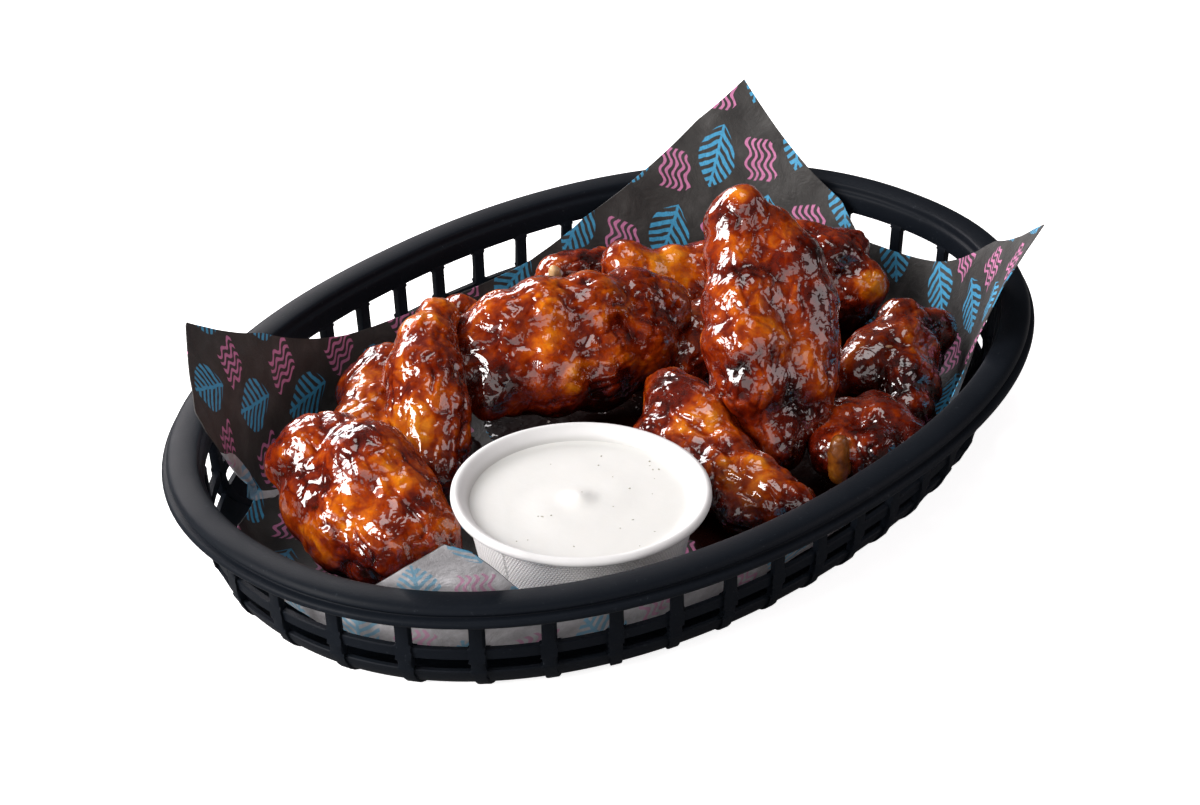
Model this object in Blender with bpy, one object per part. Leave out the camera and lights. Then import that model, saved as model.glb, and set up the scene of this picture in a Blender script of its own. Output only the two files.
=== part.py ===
# Sauced chicken wings served in an oval plastic basket on a paper liner, with a cup of dip.
# The origin is the centre of the basket's underside, the long side runs along X, +Z is up.
import math

import bpy
import numpy as np
from mathutils import Vector
from mathutils.bvhtree import BVHTree

MM = 0.001

# basket, in millimetres
RIM_HALF_LENGTH = 127.0
RIM_HALF_WIDTH = 88.4
BASKET_HEIGHT = 31.5
OVAL_EXPONENT = 2.18
PLASTIC = 2.0
RIB_COUNT = 40
RIB_WIDTH = 3.2
RIB_CROWDING = 0.009          # ribs stand a little closer along the sides than at the ends
SKIRT_DROP = 5.2
SKIRT_ROUND = 2.6
SKIRT_SHOULDER = (0.6, 0.9)   # inset and drop where the rim's top turns down
WALL_FOOT_INSET = 17.4
WALL_FOOT_BEND = (14.9, 3.3)  # inset and height where the base turns up
WALL_TOP_INSET = 9.9
UPPER_WINDOW = (14.3, 22.8)   # heights of a window's lower and upper edge
UPPER_WINDOW_INSETS = (10.8, 10.2)
LOWER_WINDOW = (7.4, 11.2)
LOWER_WINDOW_INSETS = (11.9, 11.1)
BASE_RINGS = (0.34, 0.60, 0.68, 0.90)   # shares of the base's radius
INNER_SLOTS = 0               # slots run outwards from these base rings
OUTER_SLOTS = 2

# paper liner
SHEET_HALF = (127.5, 81.5)
SHEET_TURN = math.radians(-5.3)
SHEET_CENTRE = (1.7, 2.1)
PAPER = 0.4
PAPER_FLOOR = 2.4
PAPER_FOOT_INSET = 20.2
PAPER_TOP_INSET = 12.2
PAPER_FLARE = 0.5             # outward lean above the rim, per unit of height
PAPER_FLOOR_ROW = 0.55        # share of the way out to the foot
PAPER_FOLD = (2.5, 1.0)       # distances before and after the foot
PAPER_WALL_ROWS = 3
LONG_SIDE_STEPS = 13
SHORT_SIDE_STEPS = 9

# dip cup and dip
CUP_CENTRE = (-52.9, -36.7)
CUP_FLOOR = 3.1
CUP_HEIGHT = 29.0
CUP_LIP_RADIUS = 31.0
CUP_MOUTH_RADIUS = 28.2
CUP_FOOT_RADIUS = 22.2
CUP_WALL = 1.4
CUP_FOOT_ROUND = 1.5
CUP_BOTTOM = 2.2
LIP_DEPTH = 2.8
LIP_ROLL = 1.4
DIP_BELOW_LIP = 3.2
DIP_PEAK = 1.6
DIP_PEAK_FOOT = 9.0           # radius where the peak starts to rise
DIP_PEAK_SHOULDER = 3.5
CUP_STEPS = 28

# clearances
TOUCH = 0.3
WING_TO_WING = 1.5
WING_TO_PAPER = 1.4
WING_TO_CUP = 0.8
DRAW_IN = 0.06                # share of the way to the axis, where two wings press
BLEND = 1.8                   # how softly a wing's lobes run into each other

# each wing is a run of round lobes, (x, y, z, radius)
WINGS = {
    "wing_front_left": [
        (-84, 32, 25, 8), (-80, 27, 28, 9.5), (-75, 24, 28, 9.5), (-84, 20, 19, 11.5),
        (-76, 12, 27, 12.5), (-84, 9, 17, 12.5), (-75, 1, 23, 12), (-84, -2, 16, 11),
        (-76, -8, 19, 9.5), (-74, -12, 15, 6.5)],
    "wing_left": [
        (-19, 45, 33, 5.5), (-8, 48, 29, 5), (-27, 41, 31, 7.5), (-33, 36, 26, 10),
        (-38, 30, 20, 10.5), (-42, 25, 15, 9.5), (-48, 18, 12, 6.5), (-28, 39, 19, 9.5),
        (-34, 33, 14, 9.5)],
    "wing_left_back": [
        (-30, 53, 18, 8), (-36, 52, 15, 9.5), (-42, 45, 14, 9.5), (-46, 36, 13, 8),
        (-50, 42, 13, 9), (-57, 33, 13, 8.5), (-24, 54, 14, 8)],
    "wing_centre": [
        (-12, 36, 26, 8.5), (-21, 34, 22, 5), (-6, 33, 29, 10), (-11, 28, 20, 10.5),
        (3, 28, 31, 10.5), (-1, 22, 20, 12.5), (14, 22, 30, 10.5), (10, 17, 19, 12.5),
        (27, 20, 28, 9.5), (22, 14, 20, 11.5), (34, 16, 25, 8.5), (-20, 26, 17, 5)],
    "wing_back_bone": [
        (34, 53, 22, 5), (39, 51, 20, 7), (46, 48, 17, 9), (51, 44, 14, 9),
        (39, 50, 13, 8.5), (47, 46, 13, 10), (30, 52, 15, 7), (58, 41, 13, 8)],
    "wing_back": [
        (46, 38, 26, 6.5), (49, 34, 24, 6), (57, 30, 22, 7), (64, 25, 20, 9),
        (68, 17, 17, 11), (66, 8, 15, 10), (50, 32, 16, 8), (58, 26, 14, 9.5)],
    "wing_upright": [
        (37, -10, 65, 6), (36, -9, 59, 8.5), (42, -15, 55, 8.5), (31, -13, 51, 8.5),
        (41, -21, 48, 10), (26, -20, 43, 10), (39, -26, 40, 11), (20, -26, 36, 10.5),
        (34, -31, 32, 11), (18, -30, 28, 10), (30, -35, 25, 9.5), (19, -34, 19, 8),
        (28, -38, 17, 8), (17, -39, 13, 7)],
    "wing_middle_low": [
        (34, 5, 12, 8.5), (42, 10, 14, 9), (49, 9, 14, 10), (54, 1, 13, 10), (46, 2, 11, 9)],
    "wing_back_right": [
        (80, 17, 22, 8), (84, 15, 24, 8), (87, 9, 23, 9), (90, 2, 22, 9),
        (92, -8, 18, 6.5), (97, 1, 24, 5.5), (89, -1, 15, 9), (81, 18, 14, 9.5),
        (85, 9, 13, 10), (90, -3, 13, 9)],
    "wing_right": [
        (85, -38, 18, 5.5), (78, -32, 20, 6.5), (71, -38, 17, 9), (64, -36, 15, 9.5),
        (57, -35, 16, 7), (63, -45, 13, 9), (56, -52, 10, 6.5), (78, -35, 13, 9),
        (70, -32, 12, 10), (61, -33, 12, 8)],
    "wing_front_right": [
        (10, -9, 21, 6), (7, -16, 18, 9.5), (7, -23, 16, 11), (13, -25, 15, 7),
        (3, -35, 14, 9.5), (0, -46, 13, 9), (-2, -54, 12, 8.5), (-1, -60, 12, 6),
        (-8, -49, 10, 6), (-1, -18, 13, 9), (-4, -28, 12, 9.5), (-5, -38, 12, 8.5)],
    "wing_right_low": [
        (27, -51, 12, 7), (36, -47, 12, 8), (42, -53, 12, 8.5), (42, -59, 11, 7),
        (32, -58, 11, 7.5), (47, -48, 11, 7)],
}
WING_STATIONS = 6
WING_SIDES = 11
CAP_ANGLES = (22.0, 55.0)
RAY_STEP = 0.2
RAY_REACH = 40.0

for old in list(bpy.data.objects):
    bpy.data.objects.remove(old, do_unlink=True)


def make_material(name, colour, roughness, metallic=0.0):
    material = bpy.data.materials.new(name)
    material.use_nodes = True
    shader = material.node_tree.nodes["Principled BSDF"]
    shader.inputs["Base Color"].default_value = (*colour, 1.0)
    shader.inputs["Roughness"].default_value = roughness
    shader.inputs["Metallic"].default_value = metallic
    return material


def add_object(name, verts, faces, material, smooth_angle=30.0):
    mesh = bpy.data.meshes.new(name)
    mesh.from_pydata([tuple(c * MM for c in v) for v in verts], [], faces)
    mesh.materials.append(material)
    mesh.shade_smooth()
    mesh.set_sharp_from_angle(angle=math.radians(smooth_angle))
    obj = bpy.data.objects.new(name, mesh)
    bpy.context.collection.objects.link(obj)
    return obj


def oval_radius(direction, inset):
    """Distance from the centre to the oval that lies `inset` inside the rim."""
    along = abs(math.cos(direction)) / (RIM_HALF_LENGTH - inset)
    across = abs(math.sin(direction)) / (RIM_HALF_WIDTH - inset)
    return (along ** OVAL_EXPONENT + across ** OVAL_EXPONENT) ** (-1.0 / OVAL_EXPONENT)


def polar(direction, radius, height):
    return (radius * math.cos(direction), radius * math.sin(direction), height)


# ---- basket -------------------------------------------------------------------------------

def rib_edges():
    """Directions of both edges of every rib, spaced along the wall's length."""
    samples = np.linspace(0.0, 2.0 * math.pi, 1441)
    middle = 0.5 * (WALL_FOOT_INSET + WALL_TOP_INSET)
    points = np.array([polar(a, oval_radius(a, middle), 0.0) for a in samples])
    walked = np.concatenate([[0.0], np.cumsum(np.linalg.norm(np.diff(points, axis=0), axis=1))])
    length = walked[-1]
    edges = []
    for rib in range(RIB_COUNT):
        share = rib / RIB_COUNT
        centre = (share + RIB_CROWDING * math.sin(4.0 * math.pi * share)) * length
        for side in (-0.5, 0.5):
            place = (centre + side * RIB_WIDTH) % length
            edges.append(float(np.interp(place, walked, samples)))
    return edges


def basket_rings():
    """Inner and top skin of the moulding, as (share of radius, inset, height) from the middle out."""
    rings = [(share, WALL_FOOT_INSET, PLASTIC) for share in BASE_RINGS]
    top = BASKET_HEIGHT
    wall = [
        (WALL_FOOT_INSET, PLASTIC),
        WALL_FOOT_BEND,
        *zip(LOWER_WINDOW_INSETS, LOWER_WINDOW),
        *zip(UPPER_WINDOW_INSETS, UPPER_WINDOW),
        (WALL_TOP_INSET, top - SKIRT_ROUND),
        (WALL_TOP_INSET - SKIRT_ROUND, top),
        (SKIRT_ROUND, top),
        (SKIRT_SHOULDER[0], top - SKIRT_SHOULDER[1]),
        (0.0, top - SKIRT_ROUND),
        (0.0, top - SKIRT_DROP),
    ]
    return rings + [(1.0, inset, height) for inset, height in wall]


def build_basket(material):
    edges = rib_edges()
    rings = basket_rings()
    columns = len(edges)
    verts = [(0.0, 0.0, PLASTIC)]
    for share, inset, height in rings:
        verts += [polar(a, share * oval_radius(a, inset), height) for a in edges]
    heights = [height for share, inset, height in rings]
    lower = heights.index(LOWER_WINDOW[0])
    upper = heights.index(UPPER_WINDOW[0])

    def is_open(ring, column):
        between_ribs = column % 2 == 1
        if ring in (lower, upper, OUTER_SLOTS):
            return between_ribs
        return ring == INNER_SLOTS and column % 4 != 0

    faces = [(0, 1 + c, 1 + (c + 1) % columns) for c in range(columns)]
    for ring in range(len(rings) - 1):
        here = 1 + ring * columns
        beyond = here + columns
        for column in range(columns):
            if not is_open(ring, column):
                after = (column + 1) % columns
                faces.append((here + column, beyond + column, beyond + after, here + after))
    basket = add_object("basket", verts, faces, material)
    solid = basket.modifiers.new("thickness", "SOLIDIFY")
    solid.thickness = PLASTIC * MM
    solid.offset = -1.0
    solid.use_even_offset = True
    return basket


# ---- paper liner --------------------------------------------------------------------------

def paper_radius(direction, height):
    """Radius of the sheet's outer face at a height."""
    share = (height - PAPER_FLOOR) / (BASKET_HEIGHT - PAPER_FLOOR)
    inset = PAPER_FOOT_INSET + share * (PAPER_TOP_INSET - PAPER_FOOT_INSET)
    if height > BASKET_HEIGHT:
        inset = PAPER_TOP_INSET - PAPER_FLARE * (height - BASKET_HEIGHT)
    return oval_radius(direction, inset)


def paper_point(direction, walked):
    """Place on the liner after going `walked` outwards along the sheet."""
    foot = paper_radius(direction, PAPER_FLOOR)
    if walked <= foot:
        return polar(direction, walked, PAPER_FLOOR)
    top = paper_radius(direction, BASKET_HEIGHT)
    rise = BASKET_HEIGHT - PAPER_FLOOR
    slope = math.hypot(top - foot, rise)
    share = (walked - foot) / slope
    if share <= 1.0:
        return polar(direction, foot + share * (top - foot), PAPER_FLOOR + share * rise)
    above = (walked - foot - slope) / math.hypot(1.0, PAPER_FLARE)
    return polar(direction, top + PAPER_FLARE * above, BASKET_HEIGHT + above)


def sheet_corners():
    cosine, sine = math.cos(SHEET_TURN), math.sin(SHEET_TURN)
    corners = []
    for sx, sy in ((1, 1), (-1, 1), (-1, -1), (1, -1)):
        x, y = sx * SHEET_HALF[0], sy * SHEET_HALF[1]
        turned = (x * cosine - y * sine, x * sine + y * cosine)
        corners.append((turned[0] + SHEET_CENTRE[0], turned[1] + SHEET_CENTRE[1]))
    return corners


def build_paper(material):
    corners = sheet_corners()
    edge = []
    for side in range(4):
        (x0, y0), (x1, y1) = corners[side], corners[(side + 1) % 4]
        steps = LONG_SIDE_STEPS if side % 2 == 0 else SHORT_SIDE_STEPS
        for step in range(steps):
            share = step / steps
            x, y = x0 + share * (x1 - x0), y0 + share * (y1 - y0)
            edge.append((math.atan2(y, x), math.hypot(x, y)))
    columns = len(edge)
    verts = [(0.0, 0.0, PAPER_FLOOR)]
    before, after_foot = PAPER_FOLD
    rows = 3 + PAPER_WALL_ROWS
    for row in range(rows):
        for direction, reach in edge:
            foot = paper_radius(direction, PAPER_FLOOR)
            fold = foot + after_foot
            stops = [PAPER_FLOOR_ROW * foot, foot - before, fold]
            stops += [fold + (k + 1) / PAPER_WALL_ROWS * (reach - fold) for k in range(PAPER_WALL_ROWS)]
            verts.append(paper_point(direction, stops[row]))
    faces = [(0, 1 + c, 1 + (c + 1) % columns) for c in range(columns)]
    for row in range(rows - 1):
        here = 1 + row * columns
        for column in range(columns):
            after = (column + 1) % columns
            faces.append((here + column, here + columns + column,
                          here + columns + after, here + after))
    paper = add_object("paper_liner", verts, faces, material, 60.0)
    solid = paper.modifiers.new("thickness", "SOLIDIFY")
    solid.thickness = PAPER * MM
    solid.offset = 1.0
    return paper


# ---- dip cup ------------------------------------------------------------------------------

def build_turned(name, profile, material):
    """A solid turned about the cup's axis; the profile runs from the axis to the axis."""
    verts = []
    rows = []
    for radius, height in profile:
        if radius == 0.0:
            rows.append([len(verts)])
            verts.append((CUP_CENTRE[0], CUP_CENTRE[1], height))
            continue
        rows.append(list(range(len(verts), len(verts) + CUP_STEPS)))
        for step in range(CUP_STEPS):
            x, y, z = polar(2.0 * math.pi * step / CUP_STEPS, radius, height)
            verts.append((x + CUP_CENTRE[0], y + CUP_CENTRE[1], z))
    faces = []
    for low, high in zip(rows, rows[1:]):
        for step in range(CUP_STEPS):
            after = (step + 1) % CUP_STEPS
            if len(low) == 1:
                faces.append((low[0], high[after], high[step]))
            elif len(high) == 1:
                faces.append((low[step], low[after], high[0]))
            else:
                faces.append((low[step], low[after], high[after], high[step]))
    return add_object(name, verts, faces, material, 40.0)


def cup_wall_radius(height):
    """Outer radius of the cup's tapered side."""
    share = (height - CUP_FLOOR) / CUP_HEIGHT
    return CUP_FOOT_RADIUS + share * (CUP_MOUTH_RADIUS - CUP_FOOT_RADIUS)


def build_cup(material):
    lip = CUP_FLOOR + CUP_HEIGHT
    profile = [
        (0.0, CUP_FLOOR),
        (CUP_FOOT_RADIUS - CUP_FOOT_ROUND, CUP_FLOOR),
        (CUP_FOOT_RADIUS, CUP_FLOOR + CUP_FOOT_ROUND),
        (cup_wall_radius(lip - LIP_DEPTH), lip - LIP_DEPTH),
        (CUP_LIP_RADIUS - 0.3 * LIP_ROLL, lip - LIP_DEPTH + 0.3 * LIP_ROLL),
        (CUP_LIP_RADIUS, lip - 0.7 * LIP_ROLL),
        (CUP_LIP_RADIUS - LIP_ROLL, lip),
        (cup_wall_radius(lip) - 0.6 * CUP_WALL, lip - 0.6 * LIP_ROLL),
        (cup_wall_radius(lip - LIP_DEPTH) - CUP_WALL, lip - LIP_DEPTH),
        (CUP_FOOT_RADIUS - CUP_WALL, CUP_FLOOR + CUP_BOTTOM),
        (0.0, CUP_FLOOR + CUP_BOTTOM),
    ]
    return build_turned("dip_cup", profile, material)


def build_dip(material):
    floor = CUP_FLOOR + CUP_BOTTOM + TOUCH
    level = CUP_FLOOR + CUP_HEIGHT - DIP_BELOW_LIP
    edge = cup_wall_radius(level) - CUP_WALL - 2.0 * TOUCH
    foot = CUP_FOOT_RADIUS - CUP_WALL - 2.0 * TOUCH
    profile = [
        (0.0, floor),
        (foot, floor),
        (edge, level),
        (DIP_PEAK_FOOT, level + 0.1 * DIP_PEAK),
        (DIP_PEAK_SHOULDER, level + 0.6 * DIP_PEAK),
        (0.0, level + DIP_PEAK),
    ]
    return build_turned("dip", profile, material)


# ---- wings --------------------------------------------------------------------------------

def body_field(points, lobes):
    """Signed distance, roughly, from each point to a wing's softly joined lobes."""
    lobes = np.array(lobes, dtype=float)
    gaps = np.linalg.norm(points[:, None, :] - lobes[None, :, :3], axis=2) - lobes[:, 3]
    near = gaps.min(axis=1)
    return near - BLEND * np.log(np.exp((near[:, None] - gaps) / BLEND).sum(axis=1))


def clear_of_setting(points):
    """Which points keep clear of the paper's floor and wall and of the cup."""
    x, y, z = points.T
    clear = z > PAPER_FLOOR + PAPER + 0.5 * WING_TO_PAPER
    direction = np.arctan2(y, x)
    wall = np.array([paper_radius(a, max(h, PAPER_FLOOR)) for a, h in zip(direction, z)])
    clear &= np.hypot(x, y) < wall - PAPER - WING_TO_PAPER
    lip = CUP_FLOOR + CUP_HEIGHT
    cup = np.where(z > lip - 4.0, CUP_LIP_RADIUS, cup_wall_radius(z))
    from_cup = np.hypot(x - CUP_CENTRE[0], y - CUP_CENTRE[1])
    clear &= (from_cup > cup + WING_TO_CUP) | (z > lip + WING_TO_CUP)
    return clear


def wing_axis(lobes):
    """A gently curved line through the lobes: its two ends and a function along it."""
    table = np.array(lobes, dtype=float)
    weights = table[:, 3] ** 3
    centre = np.average(table[:, :3], axis=0, weights=weights)
    offsets = table[:, :3] - centre
    spread = (offsets * weights[:, None]).T @ offsets
    frame = np.linalg.eigh(spread)[1][:, ::-1].T
    if frame[0][np.argmax(np.abs(frame[0]))] < 0.0:
        frame[0] = -frame[0]
    frame[2] = np.cross(frame[0], frame[1])
    local = offsets @ frame.T
    bend_1 = np.polyfit(local[:, 0], local[:, 1], 2, w=np.sqrt(weights))
    bend_2 = np.polyfit(local[:, 0], local[:, 2], 2, w=np.sqrt(weights))

    def place(along):
        return centre + along * frame[0] + np.polyval(bend_1, along) * frame[1] \
            + np.polyval(bend_2, along) * frame[2]

    return local[:, 0].min(), local[:, 0].max(), place, frame


def build_wing(name, material):
    lobes = WINGS[name]
    others = [WINGS[other] for other in WINGS if other != name]
    start, end, place, frame = wing_axis(lobes)
    rings = [(start, angle) for angle in CAP_ANGLES]
    rings += [(start + k / (WING_STATIONS - 1) * (end - start), 90.0) for k in range(WING_STATIONS)]
    rings += [(end, 180.0 - angle) for angle in reversed(CAP_ANGLES)]
    starts, rays = [place(start)], [-frame[0]]
    for along, angle in rings:
        lean = math.radians(angle)
        for side in range(WING_SIDES):
            turn = 2.0 * math.pi * side / WING_SIDES
            around = math.cos(turn) * frame[1] + math.sin(turn) * frame[2]
            starts.append(place(along))
            rays.append(math.sin(lean) * around - math.cos(lean) * frame[0])
    starts.append(place(end))
    rays.append(frame[0])
    starts, rays = np.array(starts), np.array(rays)
    reach = np.full(len(starts), RAY_STEP)
    going = np.ones(len(starts), dtype=bool)
    for walked in np.arange(RAY_STEP, RAY_REACH, RAY_STEP):
        points = starts + rays * walked
        own = body_field(points, lobes)
        good = (own < 0.0) & clear_of_setting(points)
        for other in others:
            good &= body_field(points, other) - own > WING_TO_WING
        going &= good
        reach[going] = walked
    verts = starts + rays * reach[:, None]
    last = len(verts) - 1
    faces = []
    for side in range(WING_SIDES):
        after = (side + 1) % WING_SIDES
        faces.append((0, 1 + after, 1 + side))
        for ring in range(len(rings) - 1):
            here = 1 + ring * WING_SIDES
            beyond = here + WING_SIDES
            faces.append((here + side, here + after, beyond + after, beyond + side))
        tail = 1 + (len(rings) - 1) * WING_SIDES
        faces.append((tail + side, tail + after, last))
    axis_points = [Vector(point * MM) for point in starts]
    return add_object(name, verts.tolist(), faces, material, 70.0), axis_points


def part_wings(wings):
    """Draw in the faces where two wings still press into each other."""
    touching = True
    while touching:
        touching = False
        trees = []
        for wing, axis_points in wings:
            corners = [v.co for v in wing.data.vertices]
            trees.append(BVHTree.FromPolygons(corners, [p.vertices for p in wing.data.polygons]))
        for first in range(len(wings)):
            for second in range(first + 1, len(wings)):
                pairs = trees[first].overlap(trees[second])
                touching = touching or bool(pairs)
                for (wing, axis_points), side in ((wings[first], 0), (wings[second], 1)):
                    polygons = {pair[side] for pair in pairs}
                    corners = {v for p in polygons for v in wing.data.polygons[p].vertices}
                    for corner in corners:
                        place = wing.data.vertices[corner]
                        place.co = place.co.lerp(axis_points[corner], DRAW_IN)


plastic = make_material("black_plastic", (0.012, 0.014, 0.018), 0.38)
sheet = make_material("printed_paper", (0.045, 0.045, 0.048), 0.70)
pulp = make_material("cup_pulp", (0.80, 0.79, 0.77), 0.75)
sauce = make_material("ranch_dip", (0.83, 0.81, 0.76), 0.35)
glaze = make_material("glazed_wing", (0.30, 0.06, 0.012), 0.18)

build_basket(plastic)
build_paper(sheet)
build_cup(pulp)
build_dip(sauce)
part_wings([build_wing(wing_name, glaze) for wing_name in WINGS])
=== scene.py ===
# Glazed chicken wings in a black plastic basket with a paper liner and a cup of dip.
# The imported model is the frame; every piece here is built on its boxes.
import math

import bpy
import numpy as np
from mathutils import Matrix, Vector


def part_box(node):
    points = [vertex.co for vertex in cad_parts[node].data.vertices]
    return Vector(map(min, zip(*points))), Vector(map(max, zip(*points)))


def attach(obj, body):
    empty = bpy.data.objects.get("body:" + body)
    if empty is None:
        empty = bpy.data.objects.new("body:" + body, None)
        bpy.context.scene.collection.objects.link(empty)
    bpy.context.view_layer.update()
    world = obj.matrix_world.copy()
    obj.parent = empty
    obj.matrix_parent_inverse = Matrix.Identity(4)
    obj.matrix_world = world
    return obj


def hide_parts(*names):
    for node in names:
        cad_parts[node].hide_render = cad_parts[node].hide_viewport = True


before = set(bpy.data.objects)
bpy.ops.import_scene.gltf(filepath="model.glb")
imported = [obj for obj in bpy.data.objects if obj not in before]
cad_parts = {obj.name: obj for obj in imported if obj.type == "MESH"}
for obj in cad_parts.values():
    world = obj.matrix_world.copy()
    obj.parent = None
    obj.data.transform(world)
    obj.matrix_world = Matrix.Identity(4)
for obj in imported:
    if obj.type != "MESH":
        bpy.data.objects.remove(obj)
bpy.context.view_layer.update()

mm = 0.001
tau = 2.0 * math.pi
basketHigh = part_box("basket")[1]
cupLow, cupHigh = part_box("dip_cup")
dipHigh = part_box("dip")[1]
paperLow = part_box("paper_liner")[0]

# small tools; lengths are in mm until they are set as points

def deselectAll():
    if bpy.context.object and bpy.context.object.mode != "OBJECT":
        bpy.ops.object.mode_set(mode="OBJECT")
    bpy.ops.object.select_all(action="DESELECT")


def activate(obj):
    deselectAll()
    obj.select_set(True)
    bpy.context.view_layer.objects.active = obj


def newest(name):
    obj = bpy.context.object
    obj.name = name
    obj.data.name = name
    return obj


def newMesh(name, primitive, **settings):
    deselectAll()
    primitive(**settings)
    return newest(name)


def applyModifier(obj, kind, **settings):
    activate(obj)
    modifier = obj.modifiers.new(kind.lower(), kind)
    for key, value in settings.items():
        setattr(modifier, key, value)
    bpy.ops.object.modifier_apply(modifier=modifier.name)


def editAll(obj, *steps):
    activate(obj)
    bpy.ops.object.mode_set(mode="EDIT")
    bpy.ops.mesh.select_all(action="SELECT")
    for step, settings in steps:
        step(**settings)
    bpy.ops.object.mode_set(mode="OBJECT")


def spinRound(obj, steps, weld):
    # spin an outline all the way round +Z and close the seam
    settings = dict(steps=steps, angle=tau, center=(0.0, 0.0, 0.0), axis=(0.0, 0.0, 1.0))
    editAll(obj, (bpy.ops.mesh.spin, settings))
    editAll(obj, (bpy.ops.mesh.remove_doubles, {"threshold": weld}),
            (bpy.ops.mesh.normals_make_consistent, {"inside": False}))


def editChosen(obj, kind, choose, step, **settings):
    # clear the selection, let choose mark some of it, and do one step on that
    activate(obj)
    bpy.ops.object.mode_set(mode="EDIT")
    bpy.ops.mesh.select_mode(type=kind)
    bpy.ops.mesh.select_all(action="DESELECT")
    bpy.ops.object.mode_set(mode="OBJECT")
    choose(obj.data)
    bpy.ops.object.mode_set(mode="EDIT")
    step(**settings)
    bpy.ops.mesh.select_mode(type="VERT")
    bpy.ops.object.mode_set(mode="OBJECT")


def pointsOf(obj, kind="co"):
    flat = np.empty(len(obj.data.vertices) * 3)
    obj.data.vertices.foreach_get(kind, flat)
    return flat.reshape(-1, 3)


def setPoints(obj, points):
    obj.data.vertices.foreach_set("co", points.ravel())
    obj.data.update()


def normalsOf(obj):
    return pointsOf(obj, "normal")


def setAttribute(obj, name, values):
    layer = obj.data.attributes.get(name) or obj.data.attributes.new(name, "FLOAT", "POINT")
    layer.data.foreach_set("value", np.asarray(values, dtype=np.float32))


def setUv(obj, coordinates):
    # one flat coordinate per point, spread to the corners
    layer = obj.data.uv_layers.new(name="flat")
    corners = np.empty(len(obj.data.loops), dtype=np.int64)
    obj.data.loops.foreach_get("vertex_index", corners)
    layer.data.foreach_set("uv", coordinates[corners].astype(np.float32).ravel())


def smooth(obj, angle=40.0):
    activate(obj)
    bpy.ops.object.shade_smooth_by_angle(angle=math.radians(angle))


def joinAll(name, pieces):
    deselectAll()
    for piece in pieces:
        piece.select_set(True)
    bpy.context.view_layer.objects.active = pieces[0]
    bpy.ops.object.join()
    return newest(name)


def place(obj, material, slotName, *nodes):
    if material and not obj.data.materials:
        obj.data.materials.append(material)
    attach(obj, "root")
    if nodes:
        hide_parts(*nodes)
    return obj


def latticePick(cells, seed, size):
    mixed = cells[..., 0] * 73856093 ^ cells[..., 1] * 19349663 ^ cells[..., 2] * 83492791 ^ seed * 2654435
    return (mixed ^ (mixed >> 13)) % size


def softNoise(points, size, seed):
    # gradient noise, about -1 to 1, with bumps of the given size in mm
    arrows = np.random.default_rng(seed).normal(size=(1024, 3))
    arrows /= np.linalg.norm(arrows, axis=1)[:, None]
    scaled = points / (size * mm)
    base = np.floor(scaled).astype(np.int64)
    inside = scaled - base
    fade = inside ** 3 * (inside * (inside * 6.0 - 15.0) + 10.0)
    total = np.zeros(len(points))
    for corner in np.ndindex(2, 2, 2):
        step = np.array(corner)
        weight = np.prod(np.where(step == 1, fade, 1.0 - fade), axis=1)
        arrow = arrows[latticePick(base + step, seed, 1024)]
        total += weight * np.einsum("ij,ij->i", arrow, inside - step)
    return 1.6 * total


def cellNoise(points, size, seed):
    # distance to the nearest and second nearest scattered point, in shares of size
    spots = np.random.default_rng(seed).random((1024, 3))
    scaled = points / (size * mm)
    base = np.floor(scaled).astype(np.int64)
    first = np.full(len(points), 9.0)
    second = np.full(len(points), 9.0)
    for corner in np.ndindex(3, 3, 3):
        cell = base + np.array(corner) - 1
        gap = np.linalg.norm(cell + spots[latticePick(cell, seed, 1024)] - scaled, axis=1)
        second = np.minimum(second, np.maximum(gap, first))
        first = np.minimum(first, gap)
    return first, second


def relief(points, heightAndSize, seed):
    return heightAndSize[0] * softNoise(points, heightAndSize[1], seed)


def ramp(values, low, high):
    share = np.clip((values - low) / (high - low), 0.0, 1.0)
    return share * share * (3.0 - 2.0 * share)


# materials, made of nodes

def newMaterial(name):
    material = bpy.data.materials.new(name)
    material.use_nodes = True
    return material, material.node_tree, material.node_tree.nodes["Principled BSDF"]


def feed(tree, node, inputs):
    # link what is a socket, and set what is a value
    for key, value in inputs.items():
        if isinstance(value, bpy.types.NodeSocket):
            tree.links.new(value, node.inputs[key])
        else:
            node.inputs[key].default_value = value


def addNode(tree, kind, inputs=None, **settings):
    node = tree.nodes.new(kind)
    for key, value in settings.items():
        setattr(node, key, value)
    feed(tree, node, inputs or {})
    return node


def math2(tree, operation, first, second=0.0):
    return addNode(tree, "ShaderNodeMath", {0: first, 1: second}, operation=operation).outputs[0]


def plus(tree, first, second):
    return math2(tree, "ADD", first, second)


def minus(tree, first, second):
    return math2(tree, "SUBTRACT", first, second)


def times(tree, first, second):
    return math2(tree, "MULTIPLY", first, second)


def mapRange(tree, value, low, high, outLow=0.0, outHigh=1.0):
    inputs = {"Value": value, "From Min": low, "From Max": high, "To Min": outLow, "To Max": outHigh}
    return addNode(tree, "ShaderNodeMapRange", inputs, interpolation_type="SMOOTHSTEP").outputs[0]


def mixColour(tree, factor, first, second):
    node = addNode(tree, "ShaderNodeMix", data_type="RGBA", blend_type="MIX")
    for socket, value in ((node.inputs[0], factor), (node.inputs[6], first), (node.inputs[7], second)):
        if isinstance(value, bpy.types.NodeSocket):
            tree.links.new(value, socket)
        elif isinstance(value, tuple):
            socket.default_value = (*value, 1.0)
        else:
            socket.default_value = value
    return node.outputs[2]


def noiseNode(tree, vector, scale, detail=3.0, roughness=0.5, distortion=0.0):
    inputs = {"Vector": vector, "Scale": scale, "Detail": detail,
              "Roughness": roughness, "Distortion": distortion}
    return addNode(tree, "ShaderNodeTexNoise", inputs).outputs["Fac"]


def objectCoordinates(tree):
    return addNode(tree, "ShaderNodeTexCoord").outputs["Object"]


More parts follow.
